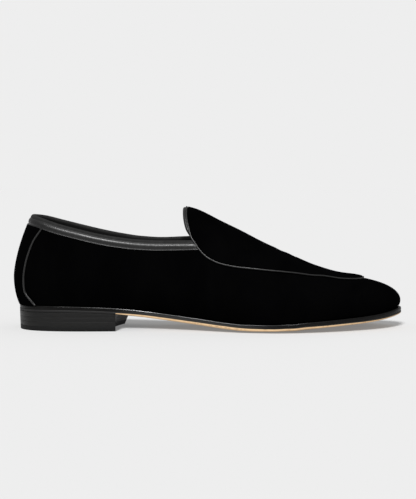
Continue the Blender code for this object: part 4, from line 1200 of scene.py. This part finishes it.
# 1 where the heel grip doubles the lining, from the back to its front edge: front + bow * cos((z - h) / h).
def heelGrip(sheet):
    points, grip = sheet["points"], upperCloth["grip"]
    front = grip["front"] + grip["bow"] * np.cos((points[:, 2] - grip["height"]) / grip["height"])
    return np.clip((front - points[:, 0]) / grip["edge"], 0, 1)


# Distance inside the back strip's edge, negative outside it.
def stripDistance(sheet):
    column = sheet["stripColumn"]
    fields = {}
    for name in ("lateral", "medial"):
        run = arcLengths(sheet["points"][sheet["ids"][name]], 0)
        fields[name] = run[column] - run
    return onPoints(sheet, fields)


# How the tongue's free edge differs from the rest of the plug's edge, which is sewn down.
tongueEdge = {
    "setBack": 1.5 * mm,  # how far plug and piping stop short of the rolled leather edge
    "start": 2.0 * mm,  # height above the throat where that begins
    "fade": 13.0 * mm,
    "reach": 14.0 * mm,  # how far ahead of the edge the plug still gives way
    "noseShare": 0.1,  # how much of the nose behind the rim is left at the throat
    "rings": 120,
    # rolled leather round the upper's edge: distance behind the rim, height above the sheet
    "section": np.array([
        (-1.6, 0.02), (-0.7, 0.30), (0.1, 0.36), (0.8, 0.18), (1.35, -0.30), (1.6, -0.95), (1.4, -1.65),
        (0.85, -2.18), (0.0, -2.44), (-2.5, -2.50), (-6.8, -2.46), (-7.3, -2.25), (-6.8, -2.04),
        (-2.5, -2.03), (-0.2, -1.95), (0.1, -1.0), (-0.1, -0.08),
    ]) * mm,
    "sectionSpan": 3,  # points between two of the section's
}


# Smooth step of the length climbed along the edge: 0 at the throat, 1 where the tongue stands free.
def tongueFree(climbed):
    t = np.clip((climbed - tongueEdge["start"]) / tongueEdge["fade"], 0, 1)
    return t * t * (3 - 2 * t)


# The sheet's points moved ahead along the columns beside the tongue's edge:
# setBack * free * (1 - s / reach)^2.
def plugPoints(sheet):
    moved = sheet["points"].copy()
    for name in ("medial", "lateral"):
        ids = sheet["ids"][name]
        run = np.nan_to_num(unit(np.diff(sheet["points"][ids], axis=0)))
        run = np.concatenate([run, run[-1:]])
        near = np.clip(1 - np.abs(sheet["tongue"][name]) / tongueEdge["reach"], 0, 1) ** 2
        amount = tongueEdge["setBack"] * tongueFree(sheet["rim"][name]) * near
        moved[ids] = sheet["points"][ids] + run * amount[..., None]
    return moved


plugCloth = {
    "thickness": 1.2 * mm,
    "rimShare": 0.35,  # share of the thickness that stands at the very edge
    "rimRadius": 1.1 * mm,
    "puff": 0.35 * mm,
    "puffWidth": 7 * mm,
    "foldFade": 5 * mm,
    "tuckIn": 0.25 * mm,  # how far below the gap the plug's underside lies, at its edge and inside it
    "under": 0.2 * mm,
}


# The plug: gap + thickness * (share + (1 - share) * quarter round) + half the puff, growing from the edge.
def makePlug(sheet, velvet):
    points, normals = plugPoints(sheet), sheet["normals"]
    rim, tongue = sheet["rim"], sheet["tongue"]
    distance = onPoints(sheet, {name: np.minimum(rim[name], np.abs(tongue[name])) for name in rim})
    rise = shoulder(distance, plugCloth["rimRadius"])
    swell = plugCloth["puff"] * np.clip(distance / plugCloth["puffWidth"], 0, 1)
    fold = foldHeights(points) * np.clip(distance / plugCloth["foldFade"], 0, 1)
    share = plugCloth["rimShare"]
    top = last["gap"] + plugCloth["thickness"] * (share + (1 - share) * rise) + swell * 0.5 + fold
    base = last["gap"] - np.where(distance < 0.05 * mm, plugCloth["tuckIn"], plugCloth["under"])
    faces, uv = sheetFaces(sheet, *(sheet[k] for k in ("throatColumn", "toeColumn", "edgeRow", "crownRow")))
    addWall("plug_velvet", points + normals * top[:, None], points + normals * base[:, None],
            faces, uv, velvet, "plug")


stripCloth = {"thickness": 1.0 * mm, "rimShare": 0.3, "rimRadius": 0.9 * mm, "under": 0.05 * mm}


# The back strip, with quarter-round edges beside its pipings and below the binding.
def makeBackStrip(sheet, velvet):
    points, normals = sheet["points"], sheet["normals"]
    share = stripCloth["rimShare"]
    rise = share + (1 - share) * shoulder(stripDistance(sheet), stripCloth["rimRadius"])
    top = last["gap"] + stripCloth["thickness"] * rise
    outer = dropFoot(sheet, keepAboveSole(points + normals * top[:, None], 0.0))
    inner = keepAboveSole(points + normals * stripCloth["under"], -0.1 * mm)
    faces, uv = sheetFaces(sheet, 0, sheet["stripColumn"], 0, sheet["bandRow"])
    addWall("back_strip_velvet", outer, inner, faces, uv, velvet, "back_strip")


piping = {
    "seamRadius": 0.60 * mm,  # what shows of the cord where it is sewn down
    "tongueRadius": 0.66 * mm,
    "backRadius": 0.78 * mm,
    "sides": 14,
    "rings": 620,
    "seamLift": 0.05 * mm,  # height of the cord's underside above the sheet
    "tongueLift": 0.25 * mm,
    "tongueReach": 7 * mm,  # how far from the tongue's edge its radius and lift count
    "away": 0.12 * mm,  # from the plug's edge to the cord
    "backAway": 0.15 * mm,
    "backFoot": 0.1 * mm,  # height of the back pipings' lower ends above the sole
    "backPast": 0.3 * mm,  # how far their upper ends go in under the binding
}


# Point numbers of the plug's closed edge: outer side forward, inner side back, then over the tongue.
def plugRim(sheet):
    outer, inner = sheet["ids"]["lateral"], sheet["ids"]["medial"]
    throat, edge = sheet["throatColumn"], sheet["edgeRow"]
    return np.concatenate([
        outer[throat:, edge], inner[throat:-1, edge][::-1],
        inner[throat, edge + 1 :], outer[throat, edge + 1 : -1][::-1],
    ])


# Evenly spaced points along a closed path, by arc length.
def evenClosed(path, extra, count):
    lengths = closedLengths(path)
    around = np.hstack([path, extra])
    return alongTable(np.arange(count) / count * lengths[-1], lengths, np.vstack([around, around[:1]]))


# Smooths a closed run of values: weights exp(-(k / reach)^2) over the neighbours, to twice the reach.
def smoothClosed(values, reach):
    steps = np.arange(-2 * reach, 2 * reach + 1)
    kernel = np.exp(-((steps / reach) ** 2))
    kernel /= kernel.sum()
    return sum(weight * np.roll(values, k, axis=0) for k, weight in zip(steps, kernel))


# A cord beside the plug's edge, then one along each edge of the back strip:
# path + outward * (radius + away) + normal * (radius + lift).
def makePipings(sheet, trim):
    points, normals = plugPoints(sheet), sheet["normals"]
    rim = plugRim(sheet)
    ahead = onPoints(sheet, {name: np.abs(values) for name, values in sheet["tongue"].items()})[rim]
    even = evenClosed(points[rim], np.column_stack([normals[rim], ahead]), piping["rings"])
    even = smoothClosed(even, 2)
    path, normal, ahead = even[:, :3], unit(even[:, 3:6]), even[:, 6]
    outward = np.cross(unit(np.roll(path, -1, axis=0) - np.roll(path, 1, axis=0)), normal)
    free = np.exp(-((ahead / piping["tongueReach"]) ** 2))
    radius = piping["seamRadius"] * (1 - free) + piping["tongueRadius"] * free
    lift = piping["seamLift"] * (1 - free) + piping["tongueLift"] * free
    centre = path + outward * (radius + piping["away"])[:, None] + normal * (radius + lift)[:, None]
    addLoft("plug_piping_cord", cordRings(centre, normal, radius, piping["sides"], True), True,
            trim, "plug_piping")
    points, radius = sheet["points"], piping["backRadius"]
    for name, turn in (("lateral", 1), ("medial", -1)):
        rows = sheet["ids"][name][sheet["stripColumn"], : sheet["bandRow"] + 1]
        path, normal = points[rows], normals[rows]
        run = unit(np.gradient(path, axis=0))
        outward = np.cross(run, normal) * turn
        centre = path + outward * (radius + piping["backAway"]) + normal * (radius + piping["seamLift"])
        centre[0, 2] = soleTop(centre[0, 0]) + piping["backFoot"]
        centre[-1] += run[-1] * piping["backPast"]
        addLoft("back_piping_cord_" + name, cordRings(centre, normal, radius, piping["sides"], False), False,
                trim, "back_piping_" + name)


# The tongue's rolled leather edge: rim + outward * s + normal * h for each (s, h) of a closed section, with
# the nose behind the rim flattened towards the throat.
def makeTongueEdge(sheet, trim):
    points, normals = sheet["points"], sheet["normals"]
    throat, edge = sheet["throatColumn"], sheet["edgeRow"]

    def overTongue(grids):
        return np.concatenate([grids["lateral"][throat, edge:], grids["medial"][throat, edge:-1][::-1]])

    rim = overTongue(sheet["ids"])
    length = arcLengths(points[rim], 0)
    table = np.column_stack([points[rim], normals[rim], overTongue(sheet["rim"])])
    even = alongTable(np.linspace(0, length[-1], tongueEdge["rings"]), length, table)
    path, normal, free = even[:, :3], unit(even[:, 3:6]), tongueFree(even[:, 6])
    outward = np.cross(unit(np.gradient(path, axis=0)), normal)
    # outward is away from the toe, which lies ahead along the crown
    crown = sheet["ids"]["lateral"][:, -1]
    ahead = points[crown[throat + 6]] - points[crown[throat]]
    outward *= -np.sign((outward[len(path) // 2] * ahead).sum())
    section = closedSpline(tongueEdge["section"], tongueEdge["sectionSpan"])
    share = tongueEdge["noseShare"]
    away = section[:, 0] * np.where(section[:, 0] > 0, share + (1 - share) * free[:, None], 1.0)
    rings = path[:, None] + outward[:, None] * away[..., None] + normal[:, None] * section[None, :, 1:]
    addLoft("tongue_edge_leather", rings, False, trim, None)


# The binding's closed section at every collar column: outer profile, a roll over the edge whose sine and
# cosine are raised to "ridge", inner face, then back along the hidden side. Its ends thin and slant on
# under the piping.
def makeBinding(sheet, trim, thread):
    points, normals = sheet["points"], sheet["normals"]
    end = sheet["throatColumn"] - 1
    band, edge = sheet["bandRow"], sheet["edgeRow"]
    ids = np.concatenate([sheet["ids"]["lateral"][: end + 1, band : edge + 1][::-1],
                          sheet["ids"]["medial"][1 : end + 1, band : edge + 1]])
    extra = bindingTrim["endRings"]
    ids = np.concatenate([ids[:1].repeat(extra, 0), ids, ids[-1:].repeat(extra, 0)])
    past = np.zeros(len(ids))
    past[:extra] = np.arange(extra, 0, -1) / extra
    past[-extra:] = np.arange(1, extra + 1) / extra
    top, topNormal = points[ids[:, -1]], normals[ids[:, -1]]
    along = arcLengths(top, 0)
    endDistance = np.minimum(along, along[-1] - along)
    steps = cut["bandSteps"][::-1]

    # values at distances below the edge, in every column
    def onBand(values, distances):
        columns = values[ids][:, ::-1]
        cell = np.clip(np.searchsorted(steps, distances, side="right") - 1, 0, len(steps) - 2)
        t = ((distances - steps[cell]) / (steps[cell + 1] - steps[cell]))[None, :, None]
        return columns[:, cell] * (1 - t) + columns[:, cell + 1] * t

    # points at distances below the edge and heights above the sheet
    def overBand(distances, heights):
        return onBand(points, distances) + onBand(normals, distances) * heights

    share = bindingTrim["endThickness"]
    endRise = shoulder(endDistance + bindingTrim["endTaperStart"], bindingTrim["endTaper"])
    taper = (share + (1 - share) * endRise) * (1 - bindingTrim["endThinning"] * past)
    taper = taper[:, None, None]
    profile, inner, hidden = (bindingTrim[key] for key in ("profile", "inside", "hidden"))
    face = overBand(profile[:, 0], profile[None, :, 1:] * taper)
    up = unit(top - points[ids[:, -2]])
    layer = last["gap"] + bindingTrim["thickness"]
    half = last["wall"] / 2
    centre = top - topNormal * half
    turn = np.linspace(0, math.pi, bindingTrim["rollSteps"] + 2)[1:-1]
    ridge = np.where(turn < math.pi / 2, *bindingTrim["ridge"])
    sideways, upwards = np.sign(np.cos(turn)) * np.abs(np.cos(turn)) ** ridge, np.sin(turn) ** ridge
    swing = sideways[None, :, None] * topNormal[:, None] + upwards[None, :, None] * up[:, None]
    roll = centre[:, None] + (half + layer * taper) * swing
    inside = overBand(inner[:, 0], -(last["wall"] + inner[None, :, 1:] * taper))
    back = overBand(hidden, -(last["wall"] + bindingTrim["insideLift"]))
    # three points of the roll, on the way back over the edge
    over = centre[:, None] + (half + bindingTrim["insideLift"]) * swing[:, [-2, 5, 1]]
    front = overBand(hidden[::-1], bindingTrim["outsideLift"])
    rings = np.concatenate([face, roll, inside, back, over, front], axis=1)
    below = [profile[:, 0], np.zeros(len(turn)), inner[:, 0], hidden, np.zeros(3), hidden[::-1]]
    run = np.zeros((len(ids), 1, 3))
    run[:extra] = unit(top[extra] - top[extra + 3])
    run[-extra:] = unit(top[-extra - 1] - top[-extra - 4])
    onward = bindingTrim["endStep"] + bindingTrim["endSlant"] * np.concatenate(below)[None, :, None]
    rings += run * past[:, None, None] * onward
    addLoft("topline_binding_leather", rings, False, trim, "topline_binding")

    seam = np.array([bindingTrim["seam"]])
    path = onBand(points, seam)[extra:-extra, 0]
    normal = onBand(normals, seam)[extra:-extra, 0]
    length = arcLengths(path, 0)
    pitch = bindingTrim["stitchPitch"]
    places = np.arange(pitch, length[-1] - pitch, pitch)
    direction = unit(alongTable(places, length, np.gradient(path, axis=0)))
    lift = unit(alongTable(places, length, normal))
    middle = alongTable(places, length, path) + lift * bindingTrim["stitchLift"]
    addStitches("binding_stitches", middle, direction, lift, thread)


# Each stitch is a small arched bead: rings of a round section with radius w / 2 * sqrt(1 - |t|^power), on a
# centre line that drops by arch * t^2.
def addStitches(name, middle, direction, lift, thread):
    rings, sides = bindingTrim["stitchCut"]
    t = np.linspace(-1, 1, rings)
    turn = np.arange(sides) * 2 * math.pi / sides
    across = np.cross(direction, lift)
    blunt = np.sqrt(np.clip(1 - np.abs(t) ** bindingTrim["stitchPower"], 0.02, 1))
    radius = bindingTrim["stitchWidth"] / 2 * blunt
    along = t * bindingTrim["stitchLength"] / 2
    arch = -bindingTrim["stitchArch"] * t**2
    centre = middle[:, None] + along[None, :, None] * direction[:, None] + arch[None, :, None] * lift[:, None]
    circle = np.cos(turn)[None, :, None] * lift[:, None] + np.sin(turn)[None, :, None] * across[:, None]
    points = centre[:, :, None] + radius[None, :, None, None] * circle[:, None]
    count = len(middle)
    faces, uv = gridFaces((rings, sides), False, along,
                          np.linspace(0, math.pi * bindingTrim["stitchWidth"], sides + 1))
    caps = np.stack([np.arange(sides), (rings - 1) * sides + np.arange(sides)[::-1]])
    if meshVolume(points[0].reshape(-1, 3), faces) < 0:
        faces, caps, uv = faces[:, ::-1], caps[:, ::-1], uv[:, ::-1]
    shift = (np.arange(count) * rings * sides)[:, None, None]
    addPiece(name, points.reshape(-1, 3),
             [(faces[None] + shift).reshape(-1, 4), (caps[None, :, ::-1] + shift).reshape(-1, sides)],
             [np.tile(uv[None], (count, 1, 1, 1)), np.zeros((count, 2, sides, 2))],
             thread, None)


# Plan of the sole as one closed loop of columns: edge, outward direction and axis.
def soleLoop(sheet):
    share = np.linspace(0, 1, cut["plateColumns"] + 1)
    both = []
    for name in ("lateral", "medial"):
        side = sheet["sides"][name]
        both.append([atShare(side, key, share) for key in ("sole", "out", "axis", "foot")])
    return [np.concatenate([a, b[-2:0:-1]]) for a, b in zip(*both)]


# A plate between two height functions. lower and upper hold distance inside the edge and height above the
# bottom or below the top for each ring of the rounded edge; further in, rings go by shares to the axis.
def addPlate(name, sheet, inset, bottom, top, lower, upper, material, node):
    edge, out, axis, _ = soleLoop(sheet)
    edge = edge - out * inset
    depth = np.linalg.norm(edge - axis, axis=1)
    rings, up = [], []
    thickness = float(top(np.zeros(1), np.ones(1))[0] - bottom(np.zeros(1), np.ones(1))[0])

    def addRing(distance, height, lift):
        reach = 1 - distance / depth
        plan = axis + (edge - axis) * reach[:, None]
        up.append(np.full(len(plan), lift / thickness + (height is top)))
        rings.append(np.column_stack([plan, height(plan[:, 0], reach) + lift]))

    shares = np.linspace(0, 1, 5)
    for share in shares:
        addRing(depth - share * (depth - cut["plateRim"]), bottom, 0.0)
    for distance, lift in lower:
        addRing(distance, bottom, lift)
    for distance, drop in upper:
        addRing(distance, top, -drop)
    for share in shares[::-1]:
        addRing(depth - share * (depth - cut["plateRim"]), top, 0.0)
    rings = np.array(rings)
    count, size = rings.shape[:2]
    half = size // 2
    weld = np.arange(count * size)
    for row in (0, count - 1):
        weld[row * size + size - np.arange(1, half)] = row * size + np.arange(1, half)
    lengths, around = arcLengths(rings[:, 0], 0), closedLengths(rings[count // 2])
    faces, uv = gridFaces((count, size), False, lengths, around)
    addSkin(name, rings.reshape(-1, 3), weld[faces], uv[..., ::-1], material, node,
            edgeHeight=np.concatenate(up))


# Quads with a doubled corner become triangles.
def splitDegenerate(faces, uv):
    doubled = faces == np.roll(faces, -1, axis=1)
    bad = doubled.any(axis=1)
    drop = doubled[bad].argmax(axis=1)
    keep = (drop[:, None] + np.arange(1, 4)) % 4
    rows = np.arange(bad.sum())[:, None]
    return faces[~bad], uv[~bad], faces[bad][rows, keep], uv[bad][rows, keep]


# Rings of each plate's edge: distance inside the edge with height above the bottom, or depth below the top.
weltEdge = {
    "lower": np.array([(1.2, 0.0), (0.30, 0.0), (0.10, 0.14), (0.02, 0.40), (0.0, 0.75)]) * mm,
    "upper": np.array([
        (0.0, 1.25), (0.03, 0.92), (0.11, 0.62), (0.25, 0.36), (0.46, 0.16), (0.75, 0.04), (1.1, 0.0),
        (3.5, 0.0),
    ]) * mm,
    "lift": 0.06 * mm,  # between outsole and midsole
}
treadEdge = {
    # the channel that the sole is stitched in, then the rounded edge
    "lower": np.array([
        (7.0, 0.0), (5.9, 0.0), (5.6, 0.10), (5.35, 0.22), (5.1, 0.10), (4.8, 0.0), (3.0, 0.0),
        (1.1, 0.0), (0.55, 0.06), (0.22, 0.22), (0.05, 0.48), (0.0, 0.8),
    ]) * mm,
    "upper": np.array([(0.0, 0.25), (0.05, 0.08), (0.2, 0.0), (1.2, 0.0)]) * mm,
}


sock = {
    "thickness": 2.5 * mm,
    "clearance": 1.15,  # from the upper's foot inward, in wall thicknesses, plus three gaps
    "lower": np.array([(0.9, 0.0), (0.2, 0.2), (0.0, 0.8)]) * mm,
    "upper": np.array([
        (0.0, 0.9), (0.12, 0.35), (0.45, 0.05), (1.0, 0.0), (2.2, 0.0), (2.5, 0.14), (2.8, 0.0),
    ]) * mm,
}


# Outsole, midsole with its welt, and sock: each a plate at fixed heights over the underside.
def makeSole(sheet, edgeLeather, tan, lining):
    def over(height, lift):
        return lambda x, reach: height(x, reach) + lift

    outsoleTop = over(underside, last["outsole"])
    addPlate("outsole_leather", sheet, 0.0, underside, outsoleTop, treadEdge["lower"], treadEdge["upper"],
             tan, "outsole")
    addPlate("midsole_welt", sheet, 0.0, over(outsoleTop, weltEdge["lift"]), soleTop, weltEdge["lower"],
             weltEdge["upper"], edgeLeather, "midsole")
    edge, _, _, foot = soleLoop(sheet)
    inset = np.linalg.norm(edge - foot, axis=1)[:, None] + last["wall"] * sock["clearance"] + 3 * last["gap"]
    sockBottom = over(soleTop, last["gap"])
    addPlate("insole_sock", sheet, inset, sockBottom, over(sockBottom, sock["thickness"]), sock["lower"],
             sock["upper"], lining, "insole")


heelStack = {
    "breastLateral": 76.6 * mm,
    "breastMedial": 86.2 * mm,
    "slant": 5.8 * mm,  # how far the inner side's breast leans ahead from the heel's seat to the floor
    "bow": 4.8 * mm,
    "taper": 0.5 * mm,  # how far inside the sole's edge the heel stands at the floor
    "topPiece": 3.6 * mm,
    "lifts": 3,
    "columns": 56,
    "columnPower": 1.3,  # over 1, columns are closer together at the back
    "rows": 22,
    "seam": 0.06 * mm,  # how deep the line between two lifts is
    # levels of one layer: 0 its lower edge and 1 its upper, lift and shrink in seam depths
    "levels": [
        (0, 0.0, 1.0), (0, 0.4, 0.3), (0, 1.3, 0.0), (0.5, 0.0, 0.0),
        (1, -1.3, 0.0), (1, -0.4, 0.3), (1, 0.0, 1.0),
    ],
    "gap": 0.02 * mm,  # between two layers
    "sharp": 50,  # degrees from which an edge is drawn sharp
}


# Points across the heel at one level: a ruled surface between the two outlines, bowed in at the breast by
# bow * sin(pi * across) * along^2.
def heelLevel(sheet, inset, height, shrink):
    runs = []
    medialBreast = heelStack["breastMedial"] - heelStack["slant"] * inset / heelStack["taper"]
    dense = np.linspace(0, 1, cut["dense"])
    half = cut["dense"] // 2
    step = np.arange(heelStack["columns"] + 1) / heelStack["columns"]
    for name, breast in (("lateral", heelStack["breastLateral"]), ("medial", medialBreast)):
        side = sheet["sides"][name]
        end = np.interp(breast - shrink, side["sole"][:half, 0], dense[:half])
        share = end * step ** heelStack["columnPower"]
        runs.append(atShare(side, "sole", share) - atShare(side, "out", share) * (inset + shrink))
    across = np.linspace(0, 1, heelStack["rows"] + 1)[None, :, None]
    plan = runs[0][:, None] * (1 - across) + runs[1][:, None] * across
    plan[..., 0] -= heelStack["bow"] * np.sin(across[..., 0] * math.pi) * step[:, None] ** 2
    return np.concatenate([plan, height(plan[..., 0])[..., None]], axis=-1)


# One layer of the heel: levels stacked with their edges drawn in at top and bottom, closed over both faces.
def addHeelLayer(name, node, sheet, low, high, material):
    (lowInset, lowHeight), (highInset, highHeight) = low, high

    def level(t, lift, shrink):
        inset = {0: lowInset, 0.5: (lowInset + highInset) / 2, 1: highInset}[t]
        return heelLevel(sheet, inset, lambda x: lowHeight(x) * (1 - t) + highHeight(x) * t + lift, shrink)

    seam = heelStack["seam"]
    levels = np.array([level(t, seam * lift, seam * shrink) for t, lift, shrink in heelStack["levels"]])
    count, columns, rows = levels.shape[:3]
    ids = np.arange(count * columns * rows).reshape(count, columns, rows)
    ids[:, 0, :] = ids[:, 0, :1]
    around = np.concatenate([ids[:, :, 0], ids[:, -1, 1:], ids[:, ::-1, -1][:, 1:-1]], axis=1)
    quads = []
    for face, turn in ((ids[0], 1), (ids[-1], -1)):
        quad = np.stack([face[:-1, :-1], face[:-1, 1:], face[1:, 1:], face[1:, :-1]], axis=2).reshape(-1, 4)
        quads.append(quad[:, ::turn])
    nextOne = np.roll(around, -1, axis=1)
    quads.append(np.stack([around[:-1], nextOne[:-1], nextOne[1:], around[1:]], axis=2).reshape(-1, 4))
    points, faces = levels.reshape(-1, 3), np.concatenate(quads)
    x, y, z = np.moveaxis(points[faces], -1, 0)
    addSkin(name, points, faces, np.stack([x, y + z], axis=-1), material, node, heelStack["sharp"])


# The heel's layers from the floor up, each inside the sole's edge by taper * (1 - z / height). The lifts
# share what the top piece leaves, and the last one ends at the outsole's underside.
def makeHeel(sheet, leather, rubber):
    height, gap = last["heelHeight"], heelStack["gap"]
    lift = (height - 2 * last["gap"] - heelStack["topPiece"] - 2 * last["gap"]) / heelStack["lifts"]
    breastDrop = height - float(underside(np.array([heelStack["breastMedial"]]), 1.0)[0])
    lift = max(lift, breastDrop + last["gap"])

    def insetAt(z):
        return heelStack["taper"] * (1 - z / height)

    def flat(z):
        return insetAt(z), lambda x: np.full_like(x, z)

    addHeelLayer("heel_top_piece_rubber", "heel_top_piece", sheet,
                 flat(0.0), flat(heelStack["topPiece"]), rubber)
    low = heelStack["topPiece"] + gap
    for number in range(1, heelStack["lifts"] + 1):
        high = low + lift + last["gap"] - gap
        upper = flat(high)
        if number == heelStack["lifts"]:
            upper = (insetAt(height), lambda x: underside(x, np.ones_like(x)) - gap)
        liftName = f"heel_lift_{number}"
        addHeelLayer(liftName + "_leather", liftName, sheet, flat(low), upper, leather)
        low = high + gap


studio = {
    "paper": 0.855,  # backdrop and floor as the camera sees them, linear
    "glow": 0.22,  # share of the floor's light that comes through it from below, as on a light table
    "fill": 0.40,  # light that reaches the shoe from all round
    "floorHalf": 12.0,
    "floorGrain": 600,
    "floorSpread": 0.005,  # how far the paper's tone varies, as a share
    "camera": (0.0, -1.1, 0.1164),
    "target": (0.0, 0.0, 0.0609),
    "lens": 101.7,
    # name, strength, elevation, azimuth from the camera's side towards the toe, angular size
    "shoeSuns": [
        ("key", 3.35, 54, 6, 9),
        ("waist", 1.2, 50, -24, 10),  # draws the bright line on round the waist's welt
        ("top", 0.15, 80, 0, 25),
    ],
    "floorSun": ("low", 7.0, 26, -10, 11),  # lights the floor alone, past the sole and the heel
}


# The floor's material, whose albedo makes its lit tone equal the backdrop's:
# paper * (1 - glow) * pi / (pi * fill + sun * sin(elevation)), the rest of the light being its own glow.
def paperMaterial():
    material, tree, shader = newMaterial("paper")
    grain = noise(tree, coords(tree), studio["floorGrain"], 2, 0.5)
    _, strength, elevation, _, _ = studio["floorSun"]
    received = math.pi * studio["fill"] + strength * math.sin(math.radians(elevation))
    albedo = studio["paper"] * (1 - studio["glow"]) * math.pi / received
    vary = studio["floorSpread"]
    shade = colours(tree, grain, [(0.3, (albedo * (1 - vary),) * 3), (0.7, (albedo * (1 + vary),) * 3)])
    tree.links.new(shade, shader.inputs["Base Color"])
    for key, value in (("Roughness", 1.0), ("Specular IOR Level", 0.0), ("Emission Color", (1, 1, 1, 1)),
                       ("Emission Strength", studio["paper"] * studio["glow"])):
        shader.inputs[key].default_value = value
    return material


# A new collection that holds these objects, for light linking.
def gather(name, objects):
    found = bpy.data.collections.new(name)
    for obj in objects:
        found.objects.link(obj)
    return found


# A sun: turned down from the zenith by 90 degrees less its elevation, then round by its azimuth.
def addSun(name, strength, elevation, azimuth, size):
    light = bpy.data.lights.new(name, "SUN")
    light.energy = strength
    light.angle = math.radians(size)
    sun = bpy.data.objects.new(name, light)
    sun.rotation_euler = (math.radians(90 - elevation), 0, math.radians(azimuth))
    bpy.context.scene.collection.objects.link(sun)
    return sun


# Backdrop light, floor, suns and camera.
def makeStudio(shadowPieces):
    world = bpy.data.worlds.new("studio")
    world.use_nodes = True
    tree = world.node_tree
    seen = addNode(tree, "LightPath").outputs["Is Camera Ray"]
    level = mixColours(tree, seen, (studio["fill"],) * 3, (studio["paper"],) * 3)
    tree.links.new(level, tree.nodes["Background"].inputs["Color"])
    scene = bpy.context.scene
    scene.world = world

    half = studio["floorHalf"]
    corners = [(-half, -half, 0), (half, -half, 0), (half, half, 0), (-half, half, 0)]
    mesh = bpy.data.meshes.new("floor")
    mesh.from_pydata(corners, [], [(0, 1, 2, 3)])
    mesh.materials.append(paperMaterial())
    floor = bpy.data.objects.new("floor", mesh)
    scene.collection.objects.link(floor)

    onFloor, offFloor = gather("floor alone", [floor]), gather("all but the floor", [floor])
    offFloor.collection_objects[0].light_linking.link_state = "EXCLUDE"
    for settings in studio["shoeSuns"]:
        addSun(*settings).light_linking.receiver_collection = offFloor
    low = addSun(*studio["floorSun"])
    low.light_linking.receiver_collection = onFloor
    low.light_linking.blocker_collection = gather("sole and heel", shadowPieces)

    view = bpy.data.cameras.new("camera")
    view.lens = studio["lens"]
    view.sensor_width = 36
    camera = bpy.data.objects.new("camera", view)
    x, y, z = studio["camera"]
    tx, ty, tz = studio["target"]
    camera.location = (x, y, z)
    camera.rotation_euler = (math.pi / 2 + math.atan2(tz - z, math.hypot(tx - x, ty - y)), 0,
                             math.atan2(-(tx - x), ty - y))
    scene.collection.objects.link(camera)
    scene.camera = camera
    scene.view_settings.view_transform = "Standard"


velvet = velvetMaterial()
trim = trimMaterial()
lining = liningMaterial()
print("materials ready")
sheet = weldSheet(cutSheet())
print("last surface cut,", len(sheet["points"]), "points")
makeUpper(sheet, velvet, lining)
makePlug(sheet, velvet)
makeBackStrip(sheet, velvet)
makePipings(sheet, trim)
makeTongueEdge(sheet, trim)
makeBinding(sheet, trim, threadMaterial())
makeSole(sheet, edgeMaterial(), tanMaterial(), lining)
makeHeel(sheet, heelMaterial(), rubberMaterial())
lowNames = ("outsole", "midsole", "heel")
makeStudio([piece for piece in bpy.context.scene.objects if piece.name.startswith(lowNames)])
print("studio ready")
